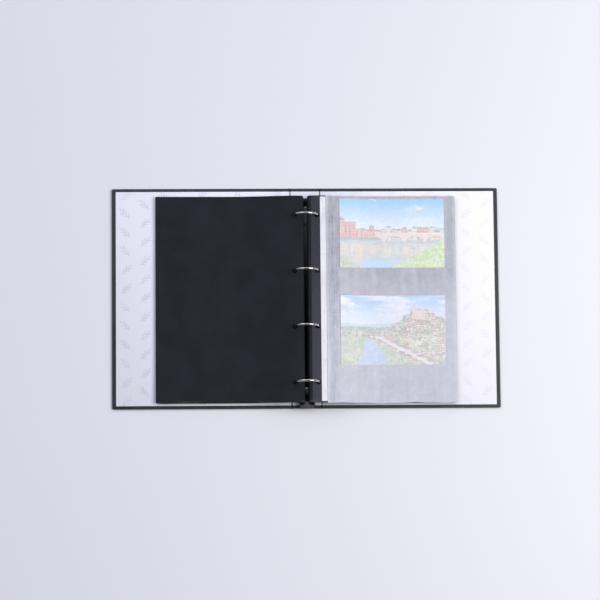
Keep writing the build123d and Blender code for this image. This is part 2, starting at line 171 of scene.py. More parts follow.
class Graph:
    """The node tree of one material or world, with short ways to add and join nodes."""

    def __init__(self, owner: bpy.types.ID, shader: str = "Principled BSDF") -> None:
        """Start on a new material or world.

        Args:
            owner: what the tree belongs to.
            shader: the node that set and relief act on.
        """
        owner.use_nodes = True
        self.owner = owner
        self.tree = owner.node_tree
        self.shader = self.tree.nodes[shader]

    def add(
        self, kind: str, inputs: dict[Union[int, str], object], **settings: object
    ) -> bpy.types.Node:
        """Add a node.

        Args:
            kind: the node's type name.
            inputs: what feeds its inputs, by number or name.
            settings: attributes set on the node.

        Returns:
            The new node.
        """
        made = self.tree.nodes.new(kind)
        for name, value in settings.items():
            setattr(made, name, value)
        for key, value in inputs.items():
            self.feed(made.inputs[key], value)
        return made

    def feed(self, socket: Socket, value: object) -> None:
        """Join an output to an input, or set the input's own value.

        Args:
            socket: the input.
            value: a Field, Tint, socket, number or colour.
        """
        if isinstance(value, Output):
            value = value.socket
        if isinstance(value, Socket):
            self.tree.links.new(value, socket)
        elif socket.type == "RGBA":
            socket.default_value = (*value, 1.0)
        else:
            socket.default_value = value

    def set(self, **sockets: object) -> None:
        """Set or join the main shader's inputs, with underscores for spaces."""
        for name, value in sockets.items():
            self.feed(self.shader.inputs[name.replace("_", " ")], value)

    def split(self, source: Socket) -> tuple[Field, Field, Field]:
        """The three parts of a vector output."""
        made = self.add("ShaderNodeSeparateXYZ", {0: source})
        return tuple(Field(self, made.outputs[i]) for i in range(3))

    def coordinates(self, kind: str) -> Socket:
        """One of the texture coordinates."""
        return self.add("ShaderNodeTexCoord", {}).outputs[kind]

    def place(self, scale: Sequence[float] = (1, 1, 1), turn: float = 0.0) -> Socket:
        """The piece's own coordinates in metres, scaled and turned about Z.

        Args:
            scale: factor along each axis.
            turn: angle in degrees.

        Returns:
            A vector output.
        """
        inputs = {
            "Vector": self.coordinates("Object"),
            "Scale": tuple(scale),
            "Rotation": (0, 0, math.radians(turn)),
        }
        return self.add("ShaderNodeMapping", inputs).outputs["Vector"]

    def axes(self) -> tuple[Field, Field, Field]:
        """The piece's own X, Y and Z in millimetres."""
        return self.split(self.place((1000, 1000, 1000)))

    def vector(self, x: Number, y: Number, z: Number = 0.0) -> Socket:
        """A vector output made of three fields or numbers."""
        return self.add("ShaderNodeCombineXYZ", {0: x, 1: y, 2: z}).outputs[0]

    def cloud(self, at: Socket, size: float, detail: float = 3.0, rough: float = 0.55) -> Field:
        """Soft noise.

        Args:
            at: where the noise is read.
            size: noise scale.
            detail: octaves.
            rough: how strong the finer octaves are.

        Returns:
            A field from 0 to 1.
        """
        inputs = {"Vector": at, "Scale": size, "Detail": detail, "Roughness": rough}
        return Field(self, self.add("ShaderNodeTexNoise", inputs).outputs["Fac"])

    def cells(self, at: Socket, size: float) -> Field:
        """Distance to the nearest of scattered points, so many for each unit."""
        made = self.add("ShaderNodeTexVoronoi", {"Vector": at, "Scale": size}, feature="F1")
        return Field(self, made.outputs["Distance"])

    def chance(self, cell: Number, other: Number = 0.0) -> Field:
        """A fixed random number from 0 to 1 for each pair of whole numbers."""
        inputs = {"Vector": self.vector(cell, other)}
        made = self.add("ShaderNodeTexWhiteNoise", inputs, noise_dimensions="2D")
        return Field(self, made.outputs["Value"])

    def blend(self, under: Paint, over: Paint, mask: Number) -> Tint:
        """Lay one colour over another through a mask.

        Args:
            under: colour where the mask is 0.
            over: colour where the mask is 1.
            mask: how much of the upper colour shows.

        Returns:
            The mixed colour.
        """
        made = self.add("ShaderNodeMix", {0: mask, 6: under, 7: over}, data_type="RGBA")
        return Tint(self, made.outputs[2])

    def layers(self, colour: Paint, *coats: tuple[Paint, Number]) -> Paint:
        """Lay more colours over a first one, each through its own mask."""
        for over, mask in coats:
            colour = self.blend(colour, over, mask)
        return colour

    def relief(self, height: Field, depth: float, strength: float = 1.0) -> None:
        """Raise the surface by a height field.

        Args:
            height: field from about 0 to 1.
            depth: metres that a height of 1 stands for.
            strength: share of the relief that shows.
        """
        inputs = {"Strength": strength, "Distance": depth, "Height": height}
        self.set(Normal=self.add("ShaderNodeBump", inputs).outputs[0])


# ---------------------------------------------------------------- finishes


class Coat:
    """What every finish has: the name of its material, and nodes of its own."""

    name: str

    def make(self) -> bpy.types.Material:
        """Build the material."""
        g = Graph(bpy.data.materials.new(self.name))
        self.lay(g)
        return g.owner

    def lay(self, g: Graph) -> None:
        """Add this finish's nodes to its material."""
        raise NotImplementedError


@dataclass(frozen=True)
class Leatherette(Coat):
    """Black pebbled leatherette, rubbed paler along the case's edges."""

    name: str = "black_leatherette"
    base: Colour = (0.020, 0.023, 0.031)
    # paler colour of the edges and corners: rubbed wear together with painted sheen
    rubbed: Colour = (0.105, 0.112, 0.128)
    half_length: float = 276.0
    half_height: float = 158.5
    turn_in: float = 14.0

    def lay(self, g: Graph) -> None:
        """Pebbles and creases, rubbed edges and corners, and the turn-in's mitres."""
        x, y, z = g.axes()
        pebbles = g.cells(g.place(), 820.0)
        creases = g.cells(g.place((1, 1.35, 1), 28), 430.0)
        patches = g.cloud(g.place(), 26.0, 4.0)
        specks = g.cloud(g.place(), 900.0, 2.0)
        to_side = x.size().below(self.half_length)
        to_end = y.size().below(self.half_height)
        worn = (patches * 0.6 + specks * 0.8).rise(0.45, 0.95)
        # edges and corners lighten: partly rubbed wear, partly painted sheen
        rub = to_side.least(to_end).fall(-0.2, 1.6) * worn
        corner = (to_side + to_end).fall(1.0, 7.0) * specks.rise(0.35, 0.6)
        mitre = to_side.around(to_end, 0.05, 0.3) * z.rise(2.3, 2.5)
        colour = g.layers(
            self.base,
            ((0.032, 0.036, 0.047), patches.rise(0.3, 0.7)),
            # painted shade in the hollows between pebbles, then painted highlights on their raised
            # tops
            ((0.007, 0.008, 0.012), pebbles.rise(0.30, 0.62) * 0.8),
            ((0.048, 0.053, 0.066), pebbles.fall(0.05, 0.22) * 0.5),
            (self.rubbed, (rub * 0.55).most(corner * 0.75)),
            ((0.004, 0.004, 0.006), mitre * to_side.fall(self.turn_in, self.turn_in + 1.0)),
        )
        g.relief(pebbles.power(1.6) * -0.9 + creases * 0.45 + specks * 0.10, 0.00030, 0.9)
        roughness = patches.rise(0.2, 0.8) * 0.12 + 0.36
        g.set(Base_Color=colour, Roughness=roughness, Specular_IOR_Level=0.5)


@dataclass(frozen=True)
class Endpaper(Coat):
    """White lining paper with a faint sprig printed in a drop repeat."""

    name: str = "white_endpaper"
    base: Colour = LINING_WHITE
    ink: Colour = (0.50, 0.51, 0.56)
    repeat: float = 27.0
    leaves: Sequence[tuple[float, float]] = (
        (-5.5, 1.0), (-3.0, -1.0), (-0.5, 1.0), (2.0, -1.0), (4.5, 1.0), (7.6, 0.0)
    )

    def sprig(self, g: Graph, x: Field, y: Field) -> Field:
        """Mask of the printed sprigs.

        Args:
            g: the material's nodes.
            x: place across the page in millimetres.
            y: place up the page in millimetres.

        Returns:
            A field that is 1 on the ink.
        """
        right = x * (1 / self.repeat)
        column = right.whole()
        up = y * (1 / self.repeat) + (column * 0.5).part()
        lean = g.chance(column, up.whole()).rise(0.49, 0.51) * 2.0 - 1.0
        local_x = (right.part() - 0.5) * self.repeat
        local_y = (up.part() - 0.5) * self.repeat
        # the sprig's own axes, leaning left or right by 45 degrees
        along = (local_x * lean + local_y) * 0.7071
        across = (local_x - local_y * lean) * 0.7071
        ink = across.size().fall(0.18, 0.42) * along.within(-9.0, 6.0, 0.4)
        for centre, side in self.leaves:
            reach = (along - (centre + 1.3)) * 0.40
            spread = (across - 2.0 * side - (along - centre - 1.3) * (0.75 * side)) * 0.95
            shape = reach * reach + spread * spread
            ink = ink.most(shape.fall(0.85, 1.25) * shape.rise(0.25, 0.55))
            vein = (along - centre - (across - 0.2 * side) * (0.55 * side)).size()
            beside = (across * (side or 1.0)).within(0.0, 4.2, 0.3)
            ink = ink.most(vein.fall(0.15, 0.40) * beside * abs(side))
        return ink

    def lay(self, g: Graph) -> None:
        """Paper fibres and soil, the worn print, and dirt along the edges."""
        x, y, _ = g.axes()
        fibres = g.cloud(g.place((1, 3, 1), 20), 700.0, 3.0)
        soil = g.cloud(g.place(), 9.0, 5.0)
        wear = g.cloud(g.place(), 60.0, 2.0).rise(0.2, 0.6) * 0.45 + 0.25
        # painted light: the sprigs are half as strong on the right cover, as if washed out by the
        # brighter light there
        painted_light_washout = x.fall(-30.0, 30.0) * 0.5 + 0.5
        edge = x.size().rise(268.0, 271.6).most(y.size().rise(151.5, 154.2))
        colour = g.layers(
            self.base,
            ((0.82, 0.825, 0.865), soil.rise(0.45, 0.75) * 0.5),
            ((0.90, 0.905, 0.925), fibres.rise(0.5, 0.8) * 0.4),
            (self.ink, self.sprig(g, x, y) * wear * painted_light_washout),
            ((0.70, 0.70, 0.71), edge * soil.rise(0.35, 0.7) * 0.35),
        )
        g.relief(fibres + soil * 0.8, 0.00003, 0.5)
        g.set(Base_Color=colour, Roughness=0.62, Specular_IOR_Level=0.35)


@dataclass(frozen=True)
class FoldedLining(Coat):
    """The same lining where it dips into a fold line: soiled and cracked at the bottom."""

    name: str = "folded_lining"
    base: Colour = LINING_WHITE
    fold_shadow: Colour = (0.10, 0.10, 0.12)
    fold_x: float = 21.2

    def lay(self, g: Graph) -> None:
        """Paper fibres, and a dirty line that wanders along the fold."""
        x, y, _ = g.axes()
        wander = g.cloud(g.vector(y * 0.02, 0.0), 3.0, 3.0) * 0.5 - 0.25
        off = (x.size() - self.fold_x + wander * 0.6).size()
        fibres = g.cloud(g.place((1, 3, 1), 20), 700.0, 3.0)
        wear = g.cloud(g.place((1, 0.25, 1)), 220.0, 3.0)
        colour = g.layers(
            self.base,
            # painted shade: grey along the fold and near black at its bottom, broken up by noise
            ((0.62, 0.63, 0.66), off.fall(0.5, 1.5) * 0.8),
            (self.fold_shadow, off.fall(0.28, 0.85) * wear.rise(0.15, 0.5)),
        )
        g.relief(fibres + wear * 0.6, 0.00005, 0.6)
        g.set(Base_Color=colour, Roughness=0.65, Specular_IOR_Level=0.3)


@dataclass(frozen=True)
class GreyBoard(Coat):
    """Pulpy grey board inside the case."""

    name: str = "grey_board"
    base: Colour = (0.36, 0.35, 0.33)

    def lay(self, g: Graph) -> None:
        """Pulp and dark flecks."""
        pulp = g.cloud(g.place(), 500.0, 4.0)
        flecks = g.cloud(g.place(), 1500.0, 1.0)
        colour = g.layers(
            self.base,
            ((0.47, 0.46, 0.43), pulp.rise(0.35, 0.7)),
            ((0.16, 0.16, 0.17), flecks.rise(0.66, 0.72)),
        )
        g.relief(pulp, 0.0001, 0.6)
        g.set(Base_Color=colour, Roughness=0.9)


@dataclass(frozen=True)
class Plating(Coat):
    """Plated steel with fine handling scratches."""

    name: str
    base: Colour
    dull: Colour
    roughness: float
    polish: Sequence[float] = (1700, 900, 1700)

    def lay(self, g: Graph) -> None:
        """Haze, polishing lines and nicks."""
        haze = g.cloud(g.place(), 90.0, 4.0)
        lines = g.cloud(g.place(self.polish), 1.0, 2.0)
        nicks = g.cloud(g.place((900, 2300, 900), 35), 1.0, 1.0)
        colour = g.layers(
            self.base,
            (self.dull, haze.rise(0.45, 0.75) * 0.6),
            (self.dull, nicks.rise(0.68, 0.76) * 0.7),
        )
        g.relief(lines + nicks * 0.6, 0.000012, 0.5)
        roughness = haze * 0.10 + lines * 0.06 + self.roughness
        g.set(Base_Color=colour, Metallic=1.0, Roughness=roughness)


@dataclass(frozen=True)
class BlackCard(Coat):
    """Black album card: fine felt texture, paper dust and a little rub along the edges."""

    name: str = "black_card"
    base: Colour = (0.0082, 0.0078, 0.0130)
    dust: Colour = (0.045, 0.045, 0.055)
    # span in millimetres of the painted sheen beside the rings
    sheen_strip: Sequence[float] = (8.0, 21.3)

    def lay(self, g: Graph) -> None:
        """Felt and fibres, dust, the paler punched margin and the rubbed rim."""
        x, y, _ = g.axes()
        felt = g.cloud(g.place(), 1300.0, 2.0)
        fibres = g.cloud(g.place((1, 5, 1), 34), 320.0, 3.0)
        mottle = g.cloud(g.place(), 30.0, 5.0)
        rubs = g.cloud(g.place((1, 0.35, 1), 12), 26.0, 4.0)
        # painted sheen on the punched strip beside the rings, only on leaves right of the middle
        # and brighter towards the foot
        sheen_strip = x.within(*self.sheen_strip, 0.6) * fibres.rise(0.1, 0.6)
        rim = x.size().rise(209.5, 212.5).most(y.size().rise(146.5, 149.5))
        colour = g.layers(
            self.base,
            ((0.0125, 0.0125, 0.0195), mottle.rise(0.3, 0.7)),
            ((0.022, 0.022, 0.030), fibres.rise(0.55, 0.75) * 0.6),
            (self.dust, felt.rise(0.72, 0.78) * mottle.rise(0.45, 0.6) * 0.6),
            ((0.060, 0.060, 0.078), sheen_strip * (y.fall(-70.0, 90.0) * 0.35 + 0.62)),
            ((0.085, 0.085, 0.095), rim * rubs.rise(0.45, 0.7) * 0.5),
        )
        g.relief(felt * 0.7 + fibres, 0.00005, 0.5)
        roughness = rubs.rise(0.3, 0.7) * 0.10 + 0.60
        g.set(Base_Color=colour, Roughness=roughness, Specular_IOR_Level=0.22)


@dataclass(frozen=True)
class Glassine(Coat):
    """Milky translucent interleaf: cloudy pulp, fine vertical streaks, a soft sheen."""

    name: str = "glassine"
    base: Colour = (0.89, 0.915, 1.0)
    cover: float = 0.35
    mean_cloud: float = 0.158

    def veil(self, g: Graph, pulp: Field, streaks: Field, broad: Field) -> Field:
        """How opaque the sheet is.

        Args:
            g: the material's nodes.
            pulp: its cloudiness.
            streaks: its fine lengthwise streaks.
            broad: its broad lengthwise bands.

        Returns:
            A field from 0 to 1.
        """
        _, y, _ = g.axes()
        smudges = g.cloud(g.place((1, 1.6, 1)), 30.0, 4.0)
        even = pulp * 0.13 + streaks * 0.12 + broad * 0.08 + y.fall(-60.0, 60.0) * 0.12
        return even + (self.cover - self.mean_cloud) - smudges.rise(0.60, 0.74) * 0.05

    def lay(self, g: Graph) -> None:
        """A bluish white film whose opacity follows its pulp."""
        pulp = g.cloud(g.place(), 190.0, 4.0)
        streaks = g.cloud(g.place((1, 0.03, 1)), 120.0, 4.0)
        broad = g.cloud(g.place((1, 0.12, 1)), 14.0, 3.0)
        colour = g.blend(self.base, (0.955, 0.965, 1.0), streaks.rise(0.45, 0.7) * 0.6)
        g.relief(streaks * 0.8 + broad + pulp * 0.25, 0.00022, 0.45)
        g.set(
            Base_Color=colour,
            Alpha=self.veil(g, pulp, streaks, broad),
            Roughness=pulp * 0.12 + 0.30,
            Specular_IOR_Level=0.5,
        )


@dataclass(frozen=True)
class TopGlassine(Glassine):
    """The interleaf over the prints: clearer where it clings to them, taut beside its paste."""

    name: str = "glassine_over_prints"
    prints_x: Sequence[float] = (48.0, 199.0)
    upper_print_y: Sequence[float] = (42.5, 142.5)
    lower_print_y: Sequence[float] = (-97.5, 2.5)
    taut_x: Sequence[float] = (33.0, 47.0)
    fold_x: Sequence[float] = (36.5, 40.0)

    def veil(self, g: Graph, pulp: Field, streaks: Field, broad: Field) -> Field:
        """How opaque the sheet is.

        Args:
            g: the material's nodes.
            pulp: its cloudiness.
            streaks: its fine lengthwise streaks.
            broad: its broad lengthwise bands.

        Returns:
            A field from 0 to 1.
        """
        veil = super().veil(g, pulp, streaks, broad)
        x, y, _ = g.axes()
        fine = g.cloud(g.place((1, 0.05, 1)), 520.0, 3.0)
        crumple = g.cloud(g.place((1, 0.8, 1), 25), 75.0, 5.0, 0.62)
        # it clings to the glossy prints, which makes it clearer over them
        inside = x.within(*self.prints_x, 1.2)
        upper = inside * y.within(*self.upper_print_y, 1.2)
        below = inside * y.within(*self.lower_print_y, 1.2)
        veil = veil - upper * 0.19 - below * 0.25
        veil = veil + (crumple - 0.5) * 0.24 * (upper + below).times_plus(-0.75, 1.0)
        # pulled taut beside the paste: close streaks, then one hollow fold
        taut = x.within(*self.taut_x, 1.5)
        veil = veil - taut * 0.025
        veil = veil + (fine - 0.55) * taut * 0.30 - x.within(*self.fold_x, 1.2) * streaks * 0.07
        return veil + x.fall(30.0, 33.5) * 0.10 + x.rise(210.5, 212.5) * 0.05


@dataclass(frozen=True)
class GluedGlassine(Coat):
    """The interleaf's pasted strip: nearly opaque, with streaks of dried paste."""

    name: str = "glued_glassine"
    base: Colour = (0.83, 0.83, 0.86)

    def lay(self, g: Graph) -> None:
        """Streaks and blots of paste."""
        paste = g.cloud(g.place((1, 0.18, 1)), 160.0, 4.0)
        blots = g.cloud(g.place(), 60.0, 3.0)
        colour = g.layers(
            self.base,
            ((0.70, 0.70, 0.73), paste.rise(0.4, 0.7) * 0.6),
            ((0.60, 0.60, 0.64), blots.rise(0.58, 0.72) * 0.5),
        )
        g.relief(paste + blots * 0.5, 0.00008, 0.6)
        g.set(Base_Color=colour, Roughness=blots * 0.2 + 0.42)


@dataclass(frozen=True)
class Tabletop(Coat):
    """Plain pale floor."""

    name: str = "pale_floor"
    base: Colour = (0.80, 0.81, 0.83)

    def lay(self, g: Graph) -> None:
        """A faint drift of tone."""
        drift = g.cloud(g.place(), 3.0, 3.0)
        g.set(Base_Color=g.blend(self.base, (0.78, 0.79, 0.81), drift), Roughness=0.8)


# ---------------------------------------------------------------- the two prints


class Picture(Graph):
    """A printed colour picture, painted in layers from the back to the front."""

    def __init__(self, name: str) -> None:
        """Start a blank print, with U along its long side and V up its short side."""
        super().__init__(bpy.data.materials.new(name))
        u, self.v, _ = self.split(self.coordinates("UV"))
        self.u = u * PRINT_SHAPE
        self.canvas: Paint = (1.0, 1.0, 1.0)

    def paint(self, colour: Paint, mask: Number = 1.0) -> None:
        """Lay a colour on the canvas through a mask."""
        self.canvas = self.blend(self.canvas, colour, mask)

    def grain(self, across: float, up: float, detail: float = 3.0, seed: float = 0.0) -> Field:
        """Noise with its own frequency across and up the print."""
        return self.cloud(self.vector(self.u * across, self.v * up, seed), 1.0, detail)

    def under(self, line: Field, soft: float) -> Field:
        """1 under a line that is given by its V."""
        return (line - self.v).rise(0.0, soft)

    def block(self, middle: float, half: float, low: float, high: float) -> Field:
        """A crisp upright block, as of a wall or tower.

        Args:
            middle: U of its middle.
            half: half its width.
            low: V of its foot.
            high: V of its top.

        Returns:
            Its mask.
        """
        crisp = 0.003
        return self.u.around(middle, half, half + crisp) * self.v.within(low, high, crisp)

    def sky(self, top: Colour, horizon: Colour, level: float, cover: float, seed: float) -> None:
        """Paint a graded sky with fair-weather clouds.

        Args:
            top: colour at the print's top.
            horizon: colour at the horizon.
            level: V of the horizon.
            cover: share of cloud, from 0 to 1.
            seed: which clouds.
        """
        self.paint(self.blend(horizon, top, self.v.rise(level, 1.05)))
        puffs = self.grain(3.2, 7.5, 6.0, seed).rise(0.62 - cover * 0.2, 0.74 - cover * 0.2)
        shade = self.grain(4.0, 9.0, 4.0, seed + 0.4)
        white = self.blend((0.96, 0.97, 1.0), (0.62, 0.70, 0.82), shade.rise(0.45, 0.75))
        self.paint(white, puffs * self.v.rise(level, level + 0.15))

    def foliage(self, mask: Field, dark: Colour, light: Colour, size: float, seed: float) -> None:
        """Paint leafy growth.

        Args:
            mask: where it grows.
            dark: colour of its shade.
            light: colour of its sunlit leaves.
            size: how fine the leaves are.
            seed: which growth.
        """
        leaves = self.grain(size, size, 4.0, seed)
        clumps = self.grain(size * 0.25, size * 0.3, 2.0, seed + 0.7)
        green = self.blend(dark, light, leaves.rise(0.38, 0.68))
        self.paint(self.blend(green, dark, clumps.rise(0.5, 0.7) * 0.7), mask)

    def water(self, mask: Field, deep: Colour, glint: Colour, seed: float) -> None:
        """Paint rippled water.

        Args:
            mask: where it lies.
            deep: its darker colour.
            glint: its lighter colour.
            seed: which ripples.
        """
        ripples = self.grain(9.0, 70.0, 3.0, seed)
        swell = self.grain(3.0, 14.0, 2.0, seed + 0.3)
        shine = self.blend(deep, glint, ripples.rise(0.42, 0.72) * 0.7)
        self.paint(self.blend(shine, glint, swell.rise(0.5, 0.8) * 0.5), mask)

    def houses(
        self, count: float, start: float, fall: float, floor: float, span: Sequence[float],
        seed: float, spread: float = 0.07,
    ) -> None:
        """Paint a row of gabled houses.

        Args:
            count: houses for each unit of U.
            start: V of the lowest eaves at the print's left.
            fall: how those eaves change along U.
            floor: V that they never go below.
            span: first and last U of the row.
            seed: which houses.
            spread: how much taller the tallest is.
        """
        inside = self.u.within(*span, 0.004)
        uneven = self.u * count + self.grain(5.0, 0.0, 1.0, seed) * 0.9
        house = uneven.whole()
        across = uneven.part()
        eaves = (house * (fall / count) + start).most(floor)
        tall = self.chance(house, seed) * spread + eaves
        hue = self.chance(house, seed + 3.0)
        pitched = self.chance(house, seed + 6.0) * (0.45 / count)
        gable = ((across - 0.5).size() * -1.6 + 0.8) * pitched + 0.012
        tiles = self.grain(60.0, 110.0, 1.0, seed)
        stain = self.grain(30.0, 12.0, 4.0, seed + 2.0)
        roof = self.layers(
            (0.50, 0.20, 0.13),
            ((0.66, 0.32, 0.21), tiles.rise(0.4, 0.6)),
            ((0.50, 0.30, 0.24), hue.rise(0.6, 0.62)),
        )
        wall = self.layers(
            (0.93, 0.50, 0.32),
            ((0.96, 0.80, 0.58), hue.rise(0.34, 0.36)),
            ((0.90, 0.42, 0.32), hue.rise(0.55, 0.57)),
            ((0.97, 0.90, 0.78), hue.rise(0.80, 0.82)),
            ((0.62, 0.42, 0.34), stain.rise(0.5, 0.8) * 0.45),
            ((0.58, 0.34, 0.26), self.chance(house, seed + 9.0).rise(0.4, 1.0) * 0.5),
        )
        self.paint(roof, self.under(tall + gable, 0.008) * inside)
        self.paint(wall, self.under(tall, 0.006) * inside)
        column = (across * 3.0 + 0.2).part().within(0.30, 0.70, 0.08)
        pane = column * (self.v * 24.0).part().within(0.22, 0.74, 0.08)
        shown = (tall - self.v).rise(0.012, 0.02) * inside
        self.paint((0.16, 0.10, 0.09), pane * shown * stain.rise(0.35, 0.55) * 0.85)
        self.paint((0.20, 0.11, 0.10), across.fall(0.04, 0.09) * shown * 0.7)

    def village(self, mask: Field, size: float, seed: float) -> None:
        """Paint a huddle of small houses seen from far off.

        Args:
            mask: where the ground is built on.
            size: houses for each unit of U.
            seed: which houses.
        """
        climb = (self.v + self.grain(4.0, 4.0, 3.0, seed) * 0.14) * (size * 1.4)
        row = climb.whole()
        up = climb.part()
        jitter = self.grain(9.0, 9.0, 2.0, seed) * 1.6
        shifted = self.u * size + self.chance(row, seed) * 3.0 + jitter
        pick = self.chance(shifted.whole(), row)
        roof = self.blend((0.66, 0.30, 0.18), (0.40, 0.20, 0.15), pick.rise(0.5, 0.6))
        tone = self.layers(
            (1.0, 0.94, 0.84),
            ((0.95, 0.60, 0.38), pick.rise(0.45, 0.50)),
            ((0.40, 0.28, 0.22), pick.rise(0.78, 0.80)),
            (roof, up.rise(0.52, 0.60)),
            ((0.08, 0.07, 0.06), shifted.part().fall(0.08, 0.18) * 0.8),
        )
        trees = self.grain(26.0, 30.0, 3.0, seed + 1.0).rise(0.52, 0.60)
        self.paint(tone, mask * pick.rise(0.14, 0.16))
        self.foliage(mask * trees, (0.20, 0.30, 0.12), (0.62, 0.70, 0.38), 40.0, seed)

    def develop(self) -> bpy.types.Material:
        """Finish the print: lighter tones, a white edge and a thin glossy film."""
        film = self.grain(420.0, 300.0, 2.0)
        side = (self.u - PRINT_SHAPE / 2).size().rise(0.7465, 0.748)
        edge = side.most((self.v - 0.5).size().rise(0.4965, 0.498))
        # painted light: every tone is lightened to make up for the shade of the glassine laid over
        # the print
        lighter = self.add("ShaderNodeGamma", {"Color": self.canvas, "Gamma": 0.60})
        self.canvas = Tint(self, lighter.outputs[0])
        self.paint((0.90, 0.90, 0.88), edge)
        self.relief(film, 0.000015, 0.3)
        self.set(Base_Color=self.canvas, Roughness=film * 0.05 + 0.16, Specular_IOR_Level=0.5)
        return self.owner


class View(Enum):
    """The two mounted prints."""

    RIVER_TOWN = "river_town_print"
    HILL_VILLAGE = "hill_village_print"


@dataclass(frozen=True)
class ColourPrint:
    """A glossy print of an invented landscape."""

    view: View

    def make(self) -> bpy.types.Material:
        """Build the material."""
        p = Picture(self.view.value)
        if self.view is View.RIVER_TOWN:
            self.river_town(p)
        else:
            self.hill_village(p)
        return p.develop()

    @staticmethod
    def river_town(p: Picture) -> None:
        """A town on a river with a long stone bridge at the right."""
        p.sky((0.10, 0.52, 0.93), (0.80, 0.95, 1.0), 0.52, 0.12, 3.1)
        ridge = p.grain(2.4, 0.0, 4.0, 1.7) * 0.14 + 0.50
        p.paint((0.50, 0.66, 0.76), p.under(ridge, 0.012))
        near = p.grain(4.0, 0.0, 4.0, 8.2) * 0.14 + 0.46
        p.foliage(p.under(near, 0.012), (0.20, 0.34, 0.16), (0.46, 0.60, 0.28), 38.0, 2.0)
        p.houses(13.0, 0.53, -0.02, 0.4, (0.30, 1.52), 5.0)
        p.houses(6.6, 0.68, -0.48, 0.49, (-0.1, 0.50), 21.0)
        p.paint((0.38, 0.42, 0.36), p.v.around(0.415, 0.018, 0.03) * p.u.fall(0.62, 0.70))
        p.water(p.v.fall(0.395, 0.405), (0.42, 0.52, 0.48), (0.80, 0.86, 0.80), 4.0)
        # what the water mirrors: pale fronts, warm walls and the sky
        fronts = p.grain(14.0, 3.0, 4.0, 6.0).rise(0.35, 0.6) * p.v.within(0.16, 0.34, 0.07)
        p.paint((0.95, 0.80, 0.54), fronts * 0.8)
        warm = p.grain(16.0, 3.0, 3.0, 2.0).rise(0.40, 0.6) * p.u.fall(0.35, 0.55)
        p.paint((0.86, 0.66, 0.42), warm * p.v.fall(0.28, 0.36) * 0.7)
        ragged = p.v + p.grain(4.0, 9.0, 3.0, 1.0) * 0.08
        p.paint((0.42, 0.70, 0.95), p.u.around(0.62, 0.22, 0.42) * ragged.fall(0.12, 0.20))
        # the bridge: a cambered deck over arches that repeat along it
        bay = ((p.u - 0.63) * 3.4).part() - 0.5
        drop = p.v - 0.375
        arch = bay * bay * 5.0 + drop * drop * 130.0
        worn = p.grain(60.0, 90.0, 3.0, 3.0).rise(0.4, 0.75)
        stones = p.blend((0.93, 0.82, 0.64), (0.72, 0.60, 0.46), worn)
        from_crown = p.u - 1.06
        deck = from_crown * from_crown * -0.10 + 0.505
        begins = p.u.rise(0.50, 0.506)
        span = p.under(deck, 0.006) * p.v.rise(0.362, 0.37) * begins
        p.paint(stones, span * arch.rise(0.80, 0.90))
        p.paint((0.50, 0.42, 0.34), arch.within(0.62, 0.84, 0.05) * span * 0.8)
        p.paint((0.97, 0.90, 0.76), (deck - p.v).within(0.002, 0.016, 0.003) * begins)
        foot = p.v.around(0.365, 0.003, 0.010) * p.u.rise(0.50, 0.52)
        p.paint((0.40, 0.42, 0.36), foot * 0.6)
        bank = (p.u - 0.80) * 0.50 + p.grain(6.0, 6.0, 4.0, 5.5) * 0.12 - p.v
        p.foliage(bank.rise(0.0, 0.02), (0.44, 0.68, 0.20), (0.82, 0.98, 0.48), 22.0, 7.0)
        meadow = p.grain(5.0, 12.0, 3.0, 4.0).rise(0.45, 0.7)
        p.paint((0.88, 1.0, 0.60), bank.rise(0.03, 0.10) * meadow * 0.7)
        shore = p.u * -0.55 + 0.16 + p.grain(8.0, 8.0, 3.0, 2.2) * 0.08
        p.foliage(p.under(shore, 0.03), (0.42, 0.46, 0.22), (0.72, 0.70, 0.42), 30.0, 1.0)

    @staticmethod
    def hill_village(p: Picture) -> None:
        """A village climbing a rocky hill above a river bend, under high cloud."""
        p.sky((0.16, 0.50, 0.92), (0.86, 0.95, 0.98), 0.55, 0.62, 7.7)
        bands = p.grain(1.6, 9.0, 5.0, 5.1).rise(0.46, 0.62) * p.u.fall(0.9, 1.5)
        p.paint((0.95, 0.97, 1.0), bands * p.v.rise(0.6, 0.75) * 0.9)
        far = p.grain(1.8, 0.0, 4.0, 4.4) * 0.08 + 0.56
        p.paint((0.60, 0.70, 0.78), p.under(far, 0.012))
        mid = p.grain(3.0, 0.0, 4.0, 9.3) * 0.07 + 0.52
        p.foliage(p.under(mid, 0.010), (0.22, 0.32, 0.20), (0.50, 0.60, 0.38), 26.0, 3.0)
        # the hill with its crag and the houses on it
        away = p.u - 1.16
        crown = (away * away * -7.0).exponential() * 0.30 + 0.44
        slope = crown + p.grain(14.0, 2.0, 4.0, 2.0) * 0.10 - p.v
        p.foliage(slope.rise(0.0, 0.01), (0.22, 0.28, 0.12), (0.66, 0.68, 0.40), 34.0, 5.0)
        crag = p.grain(24.0, 12.0, 4.0, 8.0).rise(0.50, 0.60) * slope.within(0.0, 0.16, 0.02)
        p.paint((0.92, 0.74, 0.56), crag * 0.8)
        skyline = p.chance((p.u * 26.0).whole(), 4.0) * 0.07 + slope - 0.03
        on_hill = skyline.rise(0.0, 0.006) * p.v.rise(0.38, 0.42) * p.u.rise(0.84, 0.90)
        p.village(on_hill, 21.0, 3.0)
